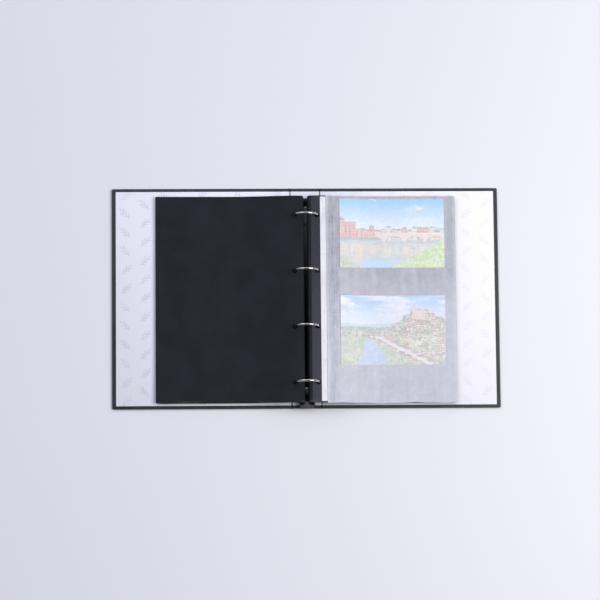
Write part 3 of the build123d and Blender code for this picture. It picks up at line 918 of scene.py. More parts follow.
        # the hall and its tower, each under a flat roof
        worn = p.grain(50.0, 70.0, 3.0, 1.0).rise(0.4, 0.7)
        stone = p.blend((0.96, 0.74, 0.56), (0.66, 0.44, 0.34), worn)
        p.paint(stone, p.block(1.13, 0.070, 0.66, 0.78))
        p.paint((0.74, 0.48, 0.40), p.block(1.13, 0.078, 0.776, 0.80))
        p.paint(stone, p.block(1.045, 0.021, 0.66, 0.845))
        p.paint((0.72, 0.46, 0.38), p.block(1.045, 0.026, 0.842, 0.862))
        p.foliage(p.v.fall(0.395, 0.410), (0.34, 0.48, 0.20), (0.76, 0.86, 0.46), 18.0, 6.0)
        bend = (p.v * 6.0 + 0.6).wave() * 0.10 + 0.36
        width = (p.v * -0.42 + 0.19).most(0.035) + p.grain(8.0, 8.0, 3.0, 3.0) * 0.05
        river = ((p.u - bend).size() - width).fall(-0.01, 0.02) * p.v.fall(0.37, 0.385)
        p.water(river, (0.36, 0.56, 0.76), (0.78, 0.90, 1.0), 2.0)
        # the near slope: a lane with rocks and houses above it
        verge = p.grain(12.0, 12.0, 4.0, 9.0) * 0.10
        lane = (p.u - (p.v * -1.9 + 1.30)).size() + verge - 0.05
        rocks = p.grain(16.0, 13.0, 5.0, 6.6)
        above = (p.u - (p.v * -1.9 + 1.16)).rise(0.0, 0.10) * p.v.fall(0.40, 0.44)
        p.paint((0.98, 0.86, 0.70), rocks.rise(0.50, 0.60) * above * 0.85)
        p.paint((0.14, 0.14, 0.10), rocks.fall(0.36, 0.44) * above * 0.7)
        p.village(above * p.grain(5.0, 5.0, 2.0, 7.0).rise(0.42, 0.52), 20.0, 6.0)
        p.village(lane.fall(0.13, 0.19) * p.v.fall(0.43, 0.45), 16.0, 9.0)
        shrubs = p.grain(11.0, 11.0, 4.0, 2.9).rise(0.48, 0.60) * p.v.fall(0.36, 0.42)
        shrubs = shrubs * p.u.fall(0.20, 0.30)
        p.foliage(shrubs, (0.34, 0.42, 0.22), (0.66, 0.66, 0.46), 40.0, 3.0)
        p.paint((1.0, 0.95, 0.86), lane.fall(0.02, 0.06) * p.v.fall(0.40, 0.42) * 0.9)
        p.paint((0.95, 0.96, 0.97), p.grain(1.6, 2.2, 2.0, 11.0).rise(0.35, 0.8) * 0.10)


# ---------------------------------------------------------------- handing out finishes


class Finish(Enum):
    """Every finish on the album and its floor."""

    LEATHERETTE = Leatherette()
    ENDPAPER = Endpaper()
    FOLDED_LINING = FoldedLining()
    GREY_BOARD = GreyBoard()
    NICKEL = Plating("nickel_plate", (0.56, 0.54, 0.51), (0.36, 0.345, 0.33), 0.06)
    # painted reflection: nickel shell and hinge plates given a near-black base to stand for the
    # dark room they reflect
    SHELL = Plating(
        "shell_nickel_dark_reflection", (0.026, 0.026, 0.031), (0.020, 0.020, 0.024), 0.09, (2600, 60, 2600)
    )
    # black nickel, whose near-black base is also a painted dark reflection of the room
    LEVER = Plating("black_nickel_dark_reflection", (0.090, 0.090, 0.100), (0.050, 0.050, 0.055), 0.22)
    CARD = BlackCard()
    GLASSINE = Glassine()
    TOP_GLASSINE = TopGlassine()
    GLUED = GluedGlassine()
    RIVER_TOWN = ColourPrint(View.RIVER_TOWN)
    HILL_VILLAGE = ColourPrint(View.HILL_VILLAGE)
    FLOOR = Tabletop()


class Wardrobe:
    """Makes each finish's material once and hands it out."""

    def __init__(self) -> None:
        """Start with nothing made."""
        self.made: dict[Finish, bpy.types.Material] = {}

    def dress(self, piece: bpy.types.Object, finish: Finish) -> None:
        """Give a piece one finish all over."""
        if finish not in self.made:
            self.made[finish] = finish.value.make()
        piece.data.materials.clear()
        piece.data.materials.append(self.made[finish])

    def fit(
        self, piece: bpy.types.Object, finish: Finish, body: str, slot: str, node: str
    ) -> None:
        """Dress a piece and let it ride on a body in place of a CAD node.

        Args:
            piece: the piece.
            finish: its finish.
            body: the body it moves with.
            slot: the record's material slot.
            node: the node that it stands for.
        """
        self.dress(piece, finish)
        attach(piece, body)
        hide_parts(node)
        LOG.info("%s rides on %s", piece.name, body)


# ---------------------------------------------------------------- mesh helpers


def to_object(mesh: Mesh, name: str, smooth: bool = True) -> bpy.types.Object:
    """Turn a bmesh into an object at the origin.

    Args:
        mesh: the finished bmesh, which is freed.
        name: the object's name.
        smooth: whether faces shade smoothly across shallow angles.

    Returns:
        The new object.
    """
    data = bpy.data.meshes.new(name)
    mesh.to_mesh(data)
    mesh.free()
    piece = bpy.data.objects.new(name, data)
    bpy.context.scene.collection.objects.link(piece)
    if smooth:
        data.shade_smooth()
        data.set_sharp_from_angle(angle=SMOOTH_ANGLE)
    return piece


def slab(low: Vector, high: Vector) -> Mesh:
    """A box between two corners."""
    mesh = bmesh.new()
    bmesh.ops.create_cube(mesh, size=1.0)
    bmesh.ops.scale(mesh, vec=high - low, verts=mesh.verts)
    bmesh.ops.translate(mesh, vec=(low + high) / 2, verts=mesh.verts)
    return mesh


def soften(
    mesh: Mesh, parts: Iterable[bmesh.types.BMEdge | bmesh.types.BMVert], width: float,
    steps: int, affect: str = "EDGES",
) -> None:
    """Round some edges, or the corners of a flat outline.

    Args:
        mesh: the bmesh.
        parts: edges or vertices to round.
        width: how far the rounding reaches.
        steps: segments across it.
        affect: EDGES or VERTICES.
    """
    bmesh.ops.bevel(
        mesh, geom=list(parts), offset=width, offset_type="OFFSET", segments=steps,
        profile=0.5, affect=affect, material=-1, clamp_overlap=True,
    )


def cut_across(mesh: Mesh, normal: Vector, places: Iterable[float]) -> None:
    """Add a line of edges at each place along a direction."""
    for place in places:
        bmesh.ops.bisect_plane(
            mesh, geom=mesh.verts[:] + mesh.edges[:] + mesh.faces[:], dist=1e-7,
            plane_co=normal * place, plane_no=normal,
        )


def mirror_over(mesh: Mesh) -> None:
    """Turn a right-hand mesh into a left-hand one, with its faces still outwards."""
    bmesh.ops.scale(mesh, vec=(-1, 1, 1), verts=mesh.verts)
    bmesh.ops.reverse_faces(mesh, faces=mesh.faces)


def nearest_face(faces: Iterable[bmesh.types.BMFace], centre: Vector) -> bmesh.types.BMFace:
    """The face whose middle is nearest to a point."""
    return min(faces, key=lambda f: (f.calc_center_median() - centre).length)


def round_out(face: bmesh.types.BMFace, centre: Vector, radius: float) -> None:
    """Move a face's corners onto a circle round a point."""
    for vertex in face.verts:
        vertex.co = centre + (vertex.co - centre).normalized() * radius


def steps_between(start: float, end: float, pitch: float) -> list[float]:
    """Evenly spaced places strictly between two ends, about a pitch apart."""
    count = max(1, round(abs(end - start) / pitch))
    return [start + (end - start) * i / count for i in range(1, count)]


def is_level(edge: bmesh.types.BMEdge, axis: int) -> bool:
    """Whether an edge's ends lie at the same place along an axis."""
    return abs(edge.verts[0].co[axis] - edge.verts[1].co[axis]) < SAME


def lies_at(edge: bmesh.types.BMEdge, axis: int, place: float) -> bool:
    """Whether a whole edge lies at one place along an axis."""
    return all(abs(v.co[axis] - place) < SAME for v in edge.verts)


# ---------------------------------------------------------------- sheets


@dataclass(frozen=True)
class Run:
    """Side view of a sheet: level beside the rings, down in an S, then flat."""

    near: float
    far: float
    bend_start: float = 24.0 * MM
    bend_end: float = 88.0 * MM
    radius: float = 160.0 * MM

    @classmethod
    def of(cls, node: str, thickness: float) -> Run:
        """Read the run of a CAD sheet that reaches both levels."""
        low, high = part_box(node)
        return cls(high.z - thickness, low.z)

    def height(self, x: float) -> float:
        """Height of the sheet's underside at a distance from the middle."""
        slope = math.atan2(self.near - self.far, self.bend_end - self.bend_start)
        reach = self.radius * math.tan(slope / 2)
        shadow = reach * math.cos(slope)
        x = abs(x)
        bend_in, bend_out = self.bend_start - reach, self.bend_end + reach
        if x <= bend_in:
            return self.near
        if x < self.bend_start + shadow:
            return self.near - self.radius + math.sqrt(self.radius**2 - (x - bend_in) ** 2)
        if x <= self.bend_end - shadow:
            return self.near - (x - self.bend_start) * math.tan(slope)
        if x < bend_out:
            return self.far + self.radius - math.sqrt(self.radius**2 - (bend_out - x) ** 2)
        return self.far


def lie_flat(x: float, y: float) -> float:
    """No lift anywhere."""
    return 0.0


@dataclass
class Sheet:
    """A thin sheet drawn in plan, then laid on a run."""

    name: str
    run: Run
    thickness: float
    x0: float
    x1: float
    y0: float
    y1: float
    side: int = 1
    corner: float = 1.8 * MM
    holes: Sequence[tuple[float, float]] = ()
    hole_radius: float = 3.5 * MM
    hole_cell: float = 5.0 * MM
    fan: float = 0.0
    pitch: float = 6.0 * MM
    lift: Callable[[float, float], float] = field(default=lie_flat)
    wander: float = 0.0
    wander_from: float = 130.0 * MM
    wander_over: float = 17.0 * MM

    def outline(self) -> Mesh:
        """The sheet's plan with rounded corners, cut into a grid."""
        mesh = bmesh.new()
        bmesh.ops.create_grid(mesh, x_segments=1, y_segments=1, size=0.5)
        bmesh.ops.scale(mesh, vec=(self.x1 - self.x0, self.y1 - self.y0, 1), verts=mesh.verts)
        middle = Vector(((self.x0 + self.x1) / 2, (self.y0 + self.y1) / 2, 0))
        bmesh.ops.translate(mesh, vec=middle, verts=mesh.verts)
        soften(mesh, mesh.verts[:], self.corner, 5, "VERTICES")
        xs = steps_between(self.x0, self.x1, self.pitch)
        ys = steps_between(self.y0, self.y1, self.pitch * 1.5)
        for hole_x, hole_y in self.holes:
            xs = [x for x in xs if abs(x - hole_x) > 1.4 * self.hole_cell]
            ys = [y for y in ys if abs(y - hole_y) > 1.6 * self.hole_cell]
        for hole_x, hole_y in self.holes:
            xs += [hole_x - self.hole_cell, hole_x + self.hole_cell]
            ys += [hole_y - self.hole_cell, hole_y + self.hole_cell]
        cut_across(mesh, RIGHT, sorted(set(xs)))
        cut_across(mesh, AWAY, sorted(set(ys)))
        return mesh

    def punch(self, mesh: Mesh) -> None:
        """Cut each round hole inside its own square cell."""
        for hole_x, hole_y in self.holes:
            centre = Vector((hole_x, hole_y, 0))
            cell = nearest_face(mesh.faces, centre)
            bmesh.ops.subdivide_edges(mesh, edges=cell.edges[:], cuts=7)
            cell = nearest_face(mesh.faces, centre)
            inner = bmesh.ops.extrude_discrete_faces(mesh, faces=[cell])["faces"]
            round_out(inner[0], centre, self.hole_radius)
            bmesh.ops.delete(mesh, geom=inner, context="FACES_ONLY")

    def map_picture(self, mesh: Mesh) -> None:
        """Map the sheet's face from corner to corner."""
        layer = mesh.loops.layers.uv.new("face")
        for face in mesh.faces:
            for loop in face.loops:
                u = (loop.vert.co.x - self.x0) / (self.x1 - self.x0)
                v = (loop.vert.co.y - self.y0) / (self.y1 - self.y0)
                loop[layer].uv = (u, v)

    def lay(self, mesh: Mesh) -> None:
        """Fan the flat sheet out in plan, then lift it onto its run."""
        low = min(v.co.z for v in mesh.verts)
        pivot_x = self.holes[0][0] if self.holes else self.x0
        pivot = Vector((pivot_x, (self.y0 + self.y1) / 2, 0))
        turn = Matrix.Rotation(math.radians(self.fan), 3, "Z")
        bmesh.ops.rotate(mesh, cent=pivot, matrix=turn, verts=mesh.verts)
        for vertex in mesh.verts:
            x, y, z = vertex.co
            vertex.co.z = self.run.height(x) + self.lift(x, y) + z - low
            ends = max(0.0, abs(y - pivot.y) - self.wander_from) / self.wander_over
            vertex.co.y += self.wander * ends * noise.noise(Vector((x * 42.0, y * 5.0, 3.0)))

    def build(self, with_picture: bool = False) -> bpy.types.Object:
        """Make the sheet.

        Args:
            with_picture: whether it needs a map of its face from corner to corner.

        Returns:
            The sheet's object.
        """
        mesh = self.outline()
        self.punch(mesh)
        bmesh.ops.recalc_face_normals(mesh, faces=mesh.faces)
        if mesh.faces[0].normal.z < 0:
            bmesh.ops.reverse_faces(mesh, faces=mesh.faces)
        bmesh.ops.solidify(mesh, geom=mesh.faces[:], thickness=self.thickness)
        if with_picture:
            self.map_picture(mesh)
        self.lay(mesh)
        if self.side < 0:
            mirror_over(mesh)
        return to_object(mesh, self.name)


# ---------------------------------------------------------------- case


@dataclass
class Case:
    """Boards, cloth, endpapers and the two gutters."""

    wardrobe: Wardrobe
    edge_round: float = 1.0 * MM
    corner_round: float = 2.0 * MM
    groove: float = 0.6 * MM
    side_border: float = 1.2 * MM
    paper: float = 0.4 * MM
    paper_round: float = 0.09 * MM
    crease_depth: float = 1.55 * MM
    crease_half: float = 1.25 * MM
    lining: float = 0.15 * MM
    flange_gap: float = 0.1 * MM
    flange_seat: float = 0.45 * MM
    gutter_pitch: Sequence[float] = (0.3 * MM, 12.0 * MM)

    def cover_cloth(self, name: str) -> None:
        """A cover's leatherette skin, with rounded edges and corners."""
        low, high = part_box(f"{name}_cover_cloth")
        mesh = slab(low, high)
        inner, outer = sorted((low.x, high.x), key=abs)
        uprights = [e for e in mesh.edges if lies_at(e, 0, outer) and not is_level(e, 2)]
        soften(mesh, uprights, self.corner_round, 5)
        rims = [
            e for e in mesh.edges
            if is_level(e, 2) and not lies_at(e, 0, inner) and len(e.link_faces) == 2
            and abs(e.link_faces[0].normal.z) + abs(e.link_faces[1].normal.z) > 0.9
        ]
        soften(mesh, rims, self.edge_round, 5)
        piece = to_object(mesh, f"{name}_cover_leatherette")
        self.wardrobe.fit(
            piece, Finish.LEATHERETTE, f"{name}_cover", "black_leatherette",
            f"{name}_cover_cloth",
        )

    def spine_cloth(self) -> None:
        """The spine's leatherette skin."""
        mesh = slab(*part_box("spine_cloth"))
        # only the edges at head and foot that run across the spine
        soften(mesh, [e for e in mesh.edges if not is_level(e, 0)], self.edge_round, 5)
        for end in (-1, 1):
            self.dimple_for_rivet(mesh, end)
        piece = to_object(mesh, "spine_leatherette")
        self.wardrobe.fit(piece, Finish.LEATHERETTE, "spine", "black_leatherette", "spine_cloth")

    def dimple_for_rivet(self, mesh: Mesh, end: int) -> None:
        """Sink a seat for one rivet flange into the outer cloth.

        Args:
            mesh: the spine's cloth.
            end: -1 for the foot, 1 for the head.
        """
        low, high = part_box("rivet_flanges")
        radius = (high.x - low.x) / 2 + self.flange_gap
        y = high.y - radius if end > 0 else low.y + radius
        around = 1.3 * radius
        cut_across(mesh, RIGHT, [-around, around])
        cut_across(mesh, AWAY, [y - around, y + around])
        centre = Vector((0, y, 0))
        cell = nearest_face([f for f in mesh.faces if f.normal.z < -0.9], centre)
        bmesh.ops.subdivide_edges(mesh, edges=cell.edges[:], cuts=5)
        cell = nearest_face([f for f in mesh.faces if f.normal.z < -0.9], centre)
        floor = bmesh.ops.extrude_discrete_faces(mesh, faces=[cell])["faces"]
        round_out(floor[0], centre, radius)
        deeper = bmesh.ops.extrude_discrete_faces(mesh, faces=floor)["faces"]
        bmesh.ops.translate(mesh, vec=(0, 0, self.flange_seat), verts=deeper[0].verts[:])

    def endpaper(self, node: str, body: str) -> None:
        """A sheet of lining paper with a softened rim."""
        low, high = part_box(node)
        low.z = high.z - self.paper
        if abs(low.x) > abs(high.x):
            low.x += self.side_border
        else:
            high.x -= self.side_border
        mesh = slab(low, high)
        soften(mesh, [e for e in mesh.edges if lies_at(e, 2, high.z)], self.paper_round, 2)
        piece = to_object(mesh, f"{node}_sheet")
        self.wardrobe.fit(piece, Finish.ENDPAPER, body, "white_endpaper", node)

    def gutter(self, name: str, side: int) -> None:
        """Cloth and creased lining that bend between the spine and a cover.

        Args:
            name: front or back.
            side: -1 for the left, 1 for the right.
        """
        low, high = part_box(f"{name}_hinge_cloth")
        inner, outer = sorted((abs(low.x), abs(high.x)))
        middle = (inner + outer) / 2
        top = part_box("spine_cloth")[1].z
        lining_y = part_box(f"{name}_hinge_lining")[1].y

        def under(x: float) -> float:
            """Outside face of the cloth."""
            share = (x - inner) / (outer - inner)
            return self.groove * math.sin(math.pi * share) ** 2

        def over(x: float) -> float:
            """Top of the filled gutter, below the lining."""
            off = min(1.0, abs(x - middle) / self.crease_half)
            return top - self.crease_depth * 0.5 * (1 + math.cos(math.pi * off))

        def face(x: float) -> float:
            """Top of the lining."""
            return over(x) + self.lining

        across, along = self.gutter_pitch
        for part, reach, floor, roof, finish, slot in (
            ("cloth", high.y, under, over, Finish.LEATHERETTE, "black_leatherette"),
            ("lining", lining_y, over, face, Finish.FOLDED_LINING, "white_endpaper"),
        ):
            mesh = slab(Vector((inner, -reach, 0)), Vector((outer, reach, 1)))
            cut_across(mesh, RIGHT, steps_between(inner, outer, across))
            cut_across(mesh, AWAY, steps_between(-reach, reach, along))
            for vertex in mesh.verts:
                level = roof if vertex.co.z > 0.5 else floor
                vertex.co.z = level(vertex.co.x)
            if side < 0:
                mirror_over(mesh)
            piece = to_object(mesh, f"{name}_gutter_{part}")
            self.wardrobe.dress(piece, finish)
            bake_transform(piece)
            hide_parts(f"{name}_hinge_{part}")
            LOG.info("%s bends between spine and %s_cover", piece.name, name)

    def build(self, nodes: dict[str, bpy.types.Object]) -> None:
        """Make and dress the whole case."""
        for name, side in (("front", -1), ("back", 1)):
            self.cover_cloth(name)
            self.endpaper(f"{name}_endpaper", f"{name}_cover")
            self.gutter(name, side)
            self.wardrobe.dress(nodes[f"{name}_board"], Finish.GREY_BOARD)
        self.wardrobe.dress(nodes["spine_board"], Finish.GREY_BOARD)
        self.wardrobe.dress(nodes["spine_lining"], Finish.ENDPAPER)
        self.spine_cloth()


# ---------------------------------------------------------------- ring mechanism


@dataclass
class Mechanism:
    """Shell, hinge plates, ring halves, rivets and lever."""

    wardrobe: Wardrobe
    wire: float = 1.6 * MM
    foot_angle: float = math.radians(60)
    foot_inset: float = 0.9 * MM
    foot_radii: Sequence[float] = (1.4 * MM, 1.3 * MM)
    seam: float = 0.12 * MM
    tip_round: float = 0.28 * MM
    tip_cone: float = 0.9 * MM
    weld: float = 0.002 * MM

    def ring_half(self, side: int, name: str, number: int) -> None:
        """One curved wire, with a rounded seam at the top and its foot in the shell.

        Args:
            side: -1 for the left, 1 for the right.
            name: left or right.
            number: counted from the foot of the page.
        """
        node = f"{name}_ring_half_{number}"
        low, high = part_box(node)
        y = (low.y + high.y) / 2
        hub = Vector((0, y, RING_CENTRE_Z))
        mesh = bmesh.new()
        # a circle across the top of the ring, turned off the seam and then swept down
        ring = bmesh.ops.create_circle(mesh, cap_ends=False, segments=20, radius=self.wire)["verts"]
        quarter = Matrix.Rotation(math.radians(90), 3, "Y")
        bmesh.ops.rotate(mesh, cent=(0, 0, 0), matrix=quarter, verts=ring)
        bmesh.ops.translate(mesh, vec=(0, y, RING_CENTRE_Z + RING_RADIUS), verts=ring)
        off_seam = self.seam / RING_RADIUS
        turn = Matrix.Rotation(off_seam, 3, "Y")
        bmesh.ops.rotate(mesh, cent=hub, matrix=turn, verts=ring)
        sweep = math.radians(90) - off_seam + self.foot_angle
        bmesh.ops.spin(
            mesh, geom=mesh.edges[:], cent=hub, axis=AWAY, angle=sweep, steps=56, use_merge=False
        )
        loops = [e for e in mesh.edges if len(e.link_faces) == 1]
        bmesh.ops.holes_fill(mesh, edges=loops, sides=0)
        bmesh.ops.recalc_face_normals(mesh, faces=mesh.faces)
        soften(mesh, self.top_cap(mesh).edges[:], self.tip_round, 3)
        self.seat_tip(mesh, self.top_cap(mesh), side)
        self.add_foot(mesh, low.z)
        if side < 0:
            mirror_over(mesh)
        piece = to_object(mesh, f"{name}_ring_wire_{number}")
        self.wardrobe.fit(piece, Finish.NICKEL, f"{name}_rings", "nickel_plate", node)

    @staticmethod
    def top_cap(mesh: Mesh) -> bmesh.types.BMFace:
        """The round face that closes the wire at the top of the ring."""
        caps = [f for f in mesh.faces if len(f.verts) > 4]
        return max(caps, key=lambda f: f.calc_center_median().z)

    def seat_tip(self, mesh: Mesh, cap: bmesh.types.BMFace, side: int) -> None:
        """Raise a small cone on the left half's end, or sink its seat into the right half's.

        Args:
            mesh: the ring half, still on the right.
            cap: the face at its end.
            side: -1 for the left, 1 for the right.
        """
        for share, step in ((0.62, 0.0), (0.55, self.tip_cone)):
            cap = bmesh.ops.extrude_discrete_faces(mesh, faces=[cap])["faces"][0]
            centre = cap.calc_center_median()
            for vertex in cap.verts:
                vertex.co = centre + (vertex.co - centre) * share
                vertex.co.x += side * step

    def add_foot(self, mesh: Mesh, floor: float) -> None:
        """A short post that stands on the hinge plate under the end of the curve.

        Args:
            mesh: the ring half, still on the right.
            floor: height that the post stands at.
        """
        x = RING_RADIUS * math.cos(self.foot_angle) - self.foot_inset
        y = sum(v.co.y for v in mesh.verts) / len(mesh.verts)
        top = RING_CENTRE_Z - RING_RADIUS * math.sin(self.foot_angle)
        radius1, radius2 = self.foot_radii
        post = bmesh.ops.create_cone(
            mesh, cap_ends=True, segments=16, radius1=radius1, radius2=radius2, depth=top - floor
        )["verts"]
        bmesh.ops.translate(mesh, vec=(x, y, (top + floor) / 2), verts=post)

    def dress_node(self, piece: bpy.types.Object, finish: Finish, round_over: float) -> None:
        """Weld a CAD node's triangles, round its edges a little and give it a finish.

        Args:
            piece: the node's object.
            finish: its finish.
            round_over: width of the rounded edge.
        """
        self.wardrobe.dress(piece, finish)
        weld = piece.modifiers.new("weld", "WELD")
        weld.merge_threshold = self.weld
        bevel = piece.modifiers.new("edge", "BEVEL")
        bevel.width = round_over
        bevel.segments = 2
        bevel.limit_method = "ANGLE"
        bevel.angle_limit = math.radians(40)
        bevel.harden_normals = False

    def build(self, nodes: dict[str, bpy.types.Object]) -> None:
        """Make and dress the mechanism."""
        for side, name in ((-1, "left"), (1, "right")):
            for number in range(1, 5):
                self.ring_half(side, name, number)
            self.dress_node(nodes[f"{name}_hinge_plate"], Finish.SHELL, 0.12 * MM)
        for node, finish, round_over in (
            ("mechanism_shell", Finish.SHELL, 0.15 * MM),
            ("mounting_rivets", Finish.NICKEL, 0.05 * MM),
            ("rivet_flanges", Finish.NICKEL, 0.12 * MM),
            ("lever_pin", Finish.NICKEL, 0.2 * MM),
            ("lever", Finish.LEVER, 0.25 * MM),
        ):
            self.dress_node(nodes[node], finish, round_over)


# ---------------------------------------------------------------- leaves


def ramp(value: float, start: float, length: float) -> float:
    """0 before a start, rising to 1 over a length."""
    return min(1.0, max(0.0, (value - start) / length))


def left_cockle(x: float, y: float) -> float:
    """The left stack's cockle."""
    return Leaves.cockle(x, y, 1.0)


def right_cockle(x: float, y: float) -> float:
    """The right stack's cockle."""
    return Leaves.cockle(x, y, 2.0)


@dataclass
class Leaves:
    """Black leaves, interleaves, the glued strip and the two prints."""

    wardrobe: Wardrobe
    leaf: float = 0.5 * MM
    glassine: float = 0.12 * MM
    print_sheet: float = 0.22 * MM
    width: float = 210.0 * MM
    half_height: float = 148.5 * MM
    hole_inset: float = 12.0 * MM
    hole_play: float = 0.8 * MM
    cut_corner: float = 0.8 * MM
    stagger: float = 0.09 * MM
    print_gaps: Sequence[float] = (0.15 * MM, 0.06 * MM)
    glassine_gap: float = 0.2 * MM
    overreach: Sequence[float] = (3.3 * MM, 2.2 * MM)
    edge_wave: float = 1.3 * MM
    ring_ys: Sequence[float] = tuple((-2.5 + (i - 1.5) * 80.0) * MM for i in range(4))
    left_fan: Sequence[float] = (0.03, 0.07, 0.04, 0.08)
    right_fan: Sequence[float] = (-0.08, 0.04, -0.09, -0.03)

    @staticmethod
    def cockle(x: float, y: float, seed: float) -> float:
        """Gentle cockle shared by every sheet of a stack, none beside the rings.

        Args:
            x: distance from the middle.
            y: place along the page.
            seed: which stack.

        Returns:
            A lift in metres, never below zero.
        """
        ripple = noise.noise(Vector((x * 9.0, y * 7.0, seed))) * 0.5 + 0.5
        corner = max(0.0, (abs(x) - 0.16) / 0.05) * max(0.0, (abs(y) - 0.09) / 0.06)
        return ramp(abs(x), 0.05, 0.12) * (0.5 * ripple + 0.9 * corner * corner) * MM

    @staticmethod
    def glassine_wave(x: float, y: float) -> float:
        """The top interleaf's looser lift: long ripples, fuller at head and foot."""
        ends = 0.35 + 0.65 * min(1.0, (abs(y) / 0.14) ** 3)
        ripple = 0.5 + 0.5 * noise.noise(Vector((x * 34.0, y * 4.0, 5.0)))
        fine = 0.5 + 0.5 * noise.noise(Vector((x * 120.0, y * 9.0, 9.0)))
        loose = ramp(x, 0.031, 0.012) * ends * (0.9 * ripple + 0.12 * fine) * MM
        return right_cockle(x, y) + loose

    def punched(self, node: str, side: int, fan: float, body: str) -> None:
        """One black leaf.

        Args:
            node: the CAD leaf that it stands for.
            side: -1 for the left, 1 for the right.
            fan: degrees that it is turned in plan.
            body: the body that it moves with.
        """
        run = Run.of(node, self.leaf)
        below_centre = RING_CENTRE_Z - run.near - self.leaf / 2
        hole_x = math.sqrt(RING_RADIUS**2 - below_centre**2) + self.hole_play
        x0 = hole_x - self.hole_inset
        middle_y = sum(self.ring_ys) / len(self.ring_ys)
        sheet = Sheet(
            f"{node}_card", run, self.leaf, x0, x0 + self.width, middle_y - self.half_height,
            middle_y + self.half_height, side, holes=[(hole_x, y) for y in self.ring_ys],
            fan=fan, lift=left_cockle if side < 0 else right_cockle,
        )
        self.wardrobe.fit(sheet.build(), Finish.CARD, body, "black_card", node)

    def plain(
        self, node: str, thickness: float, body: str, finish: Finish, slot: str, run: Run,
        side: int = 1, lift: Callable[[float, float], float] = right_cockle,
        pitch: float = 6.0 * MM, picture: bool = False,
        spread: Sequence[float] = (0.0, 0.0), wander: float = 0.0,
    ) -> None:
        """One unpunched sheet that fills its CAD node's plan.

        Args:
            node: the CAD sheet that it stands for.
            thickness: sheet thickness.
            body: the body that it moves with.
            finish: its finish.
            slot: the record's material slot.
            run: its side view.
            side: -1 for the left, 1 for the right.
            lift: height added over its run.
            pitch: spacing of its grid.
            picture: whether its face carries a picture.
            spread: how far it reaches past the CAD sheet, outwards and at head and foot.
            wander: how much its head and foot edges wave in plan.
        """
        low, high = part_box(node)
        x0, x1 = sorted((abs(low.x), abs(high.x)))
        sheet = Sheet(
            f"{node}_sheet", run, thickness, x0, x1 + spread[0], low.y - spread[1],
            high.y + spread[1], side, corner=self.cut_corner, pitch=pitch, lift=lift, wander=wander,
        )
        self.wardrobe.fit(sheet.build(picture), finish, body, slot, node)

    def interleaf(self, name: str, side: int, number: int) -> None:
        """One interleaf further down a stack, midway between two leaves.

        Args:
            name: left or right.
            side: -1 for the left, 1 for the right.
            number: the leaf that it lies on or under.
        """
        node = f"{name}_interleaf_{number}"
        beside = Run.of(f"{name}_leaf_{number}", self.leaf)
        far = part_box(node)[0].z
        run = Run(beside.near + far - beside.far + side * self.stagger, far)
        self.plain(
            node, self.glassine, f"{name}_leaves", Finish.GLASSINE, "glassine", run, side,
            left_cockle if side < 0 else right_cockle,
        )

    def build(self) -> None:
        """Make and dress both stacks and what lies on the top leaf."""
        for side, name, fans in ((-1, "left", self.left_fan), (1, "right", self.right_fan)):
            for number, fan in enumerate(fans, 1):
                self.punched(f"{name}_leaf_{number}", side, fan, f"{name}_leaves")
        self.punched("top_leaf", 1, 0.0, "top_leaf")
        for side, name in ((-1, "left"), (1, "right")):
            for number in range(1, 5):
                self.interleaf(name, side, number)
        top = Run.of("top_leaf", self.leaf)
        near_gap, far_gap = self.print_gaps
        on_leaf = Run(top.near + self.leaf + near_gap, top.far + self.leaf + far_gap)
        for node, finish in (
            ("upper_print", Finish.RIVER_TOWN), ("lower_print", Finish.HILL_VILLAGE)
        ):
            self.plain(
                node, self.print_sheet, "top_leaf", finish, "photo_print", on_leaf, picture=True
            )
        self.plain(
            "glue_strip", self.glassine, "top_leaf", Finish.GLUED, "glued_glassine", on_leaf
        )
        rise = self.print_sheet + self.glassine_gap
        self.plain(
            "top_interleaf", self.glassine, "interleaf", Finish.TOP_GLASSINE, "glassine",
            Run(on_leaf.near + rise, on_leaf.far + rise), lift=self.glassine_wave,
            pitch=2.6 * MM, spread=self.overreach, wander=self.edge_wave,
        )


# ---------------------------------------------------------------- studio


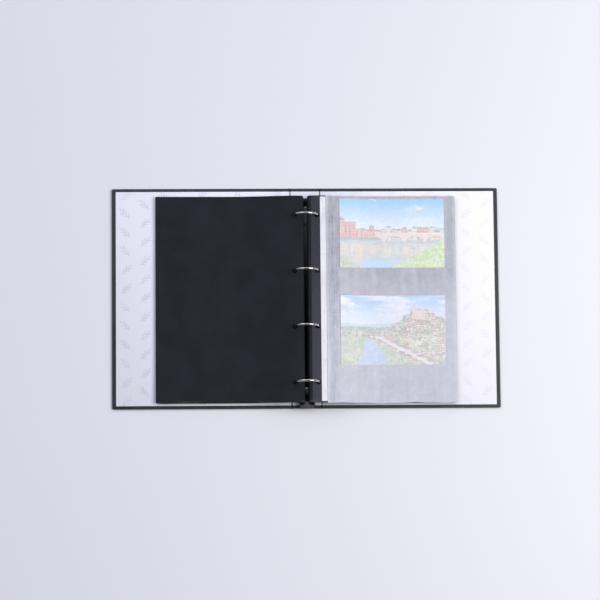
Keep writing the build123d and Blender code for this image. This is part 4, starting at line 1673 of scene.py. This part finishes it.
@dataclass
class Studio:
    """Pale floor, soft light and the camera."""

    wardrobe: Wardrobe
    lean: Sequence[float] = (-0.04, -0.15)
    distance: float = 5.0
    frame_width: float = 0.8555
    sensor: float = 36.0
    roll: float = 0.58
    aim: Sequence[float] = (-0.0082, -0.0025, 0.0)
    lamp_size: float = 1.3
    room_light: float = 0.93
    # how far above the horizon, from 0 to 1, and the room's colour there
    bands: Sequence[tuple[float, Colour]] = (
        (0.25, (0.34, 0.35, 0.40)), (0.52, (0.74, 0.76, 0.90)),
        (0.86, (0.72, 0.74, 0.88)), (0.965, (0.05, 0.055, 0.065)),
    )

    def floor(self) -> None:
        """A wide plain surface under the album."""
        mesh = bmesh.new()
        bmesh.ops.create_grid(mesh, x_segments=1, y_segments=1, size=6.0)
        piece = to_object(mesh, "floor", smooth=False)
        self.wardrobe.dress(piece, Finish.FLOOR)

    def lamp(self, name: str, at: Sequence[float], power: float, colour: Colour) -> None:
        """A large square soft light aimed at the album.

        Args:
            name: the light's name.
            at: its place.
            power: watts.
            colour: its colour.
        """
        data = bpy.data.lights.new(name, "AREA")
        data.size = self.lamp_size
        data.energy = power
        data.color = colour
        lamp = bpy.data.objects.new(name, data)
        lamp.location = at
        lamp.rotation_euler = (-Vector(at)).to_track_quat("-Z", "Y").to_euler()
        bpy.context.scene.collection.objects.link(lamp)

    def room(self) -> None:
        """Even room light, darker straight overhead and dimmer towards the foot."""
        world = bpy.data.worlds.new("room")
        bpy.context.scene.world = world
        g = Graph(world, "Background")
        _, ahead, up = g.split(g.coordinates("Generated"))
        shades = g.add("ShaderNodeValToRGB", {0: up})
        stops = shades.color_ramp.elements
        stops[0].position, stops[0].color = 0.0, (0.30, 0.31, 0.35, 1)
        stops[1].position, stops[1].color = 1.0, (0.02, 0.022, 0.028, 1)
        for position, colour in self.bands:
            stops.new(position).color = (*colour, 1)
        ends = {"Value": ahead, "From Min": -0.35, "From Max": 0.40, "To Min": 0.28, "To Max": 1.62}
        slant = g.add("ShaderNodeMapRange", ends).outputs[0]
        dimmed = {0: shades.outputs[0], "Scale": slant}
        dim = g.add("ShaderNodeVectorMath", dimmed, operation="SCALE")
        g.set(Color=dim.outputs[0], Strength=self.room_light)

    def camera(self) -> None:
        """The camera, high over the foot of the album."""
        data = bpy.data.cameras.new("camera")
        data.sensor_width = self.sensor
        data.lens = self.sensor * self.distance / self.frame_width
        data.clip_end = 50.0
        eye = bpy.data.objects.new("camera", data)
        back = Vector((*self.lean, 1.0)).normalized()
        right = AWAY.cross(back).normalized()
        facing = Matrix((right, back.cross(right), back)).transposed()
        eye.location = Vector(self.aim) + back * self.distance
        roll = Matrix.Rotation(math.radians(-self.roll), 3, "Z")
        eye.rotation_euler = (facing @ roll).to_euler()
        bpy.context.scene.collection.objects.link(eye)
        bpy.context.scene.camera = eye

    def build(self) -> None:
        """Set the scene."""
        self.floor()
        self.room()
        self.lamp("key", (1.5, -0.05, 1.5), 30.5, (1.0, 0.955, 0.90))
        self.lamp("fill", (-1.2, 1.3, 1.5), 7.5, (0.84, 0.90, 1.0))
        self.camera()
        bpy.context.scene.view_settings.view_transform = "Standard"


def main() -> None:
    """Dress the packed album and write both boxes."""
    logging.basicConfig(level=logging.INFO, format="%(name)s: %(message)s")
    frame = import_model()
    wardrobe = Wardrobe()
    Case(wardrobe).build(frame["nodes"])
    Mechanism(wardrobe).build(frame["nodes"])
    Leaves(wardrobe).build()
    Studio(wardrobe).build()
    bpy.context.view_layer.update()


if __name__ == "__main__":
    main()
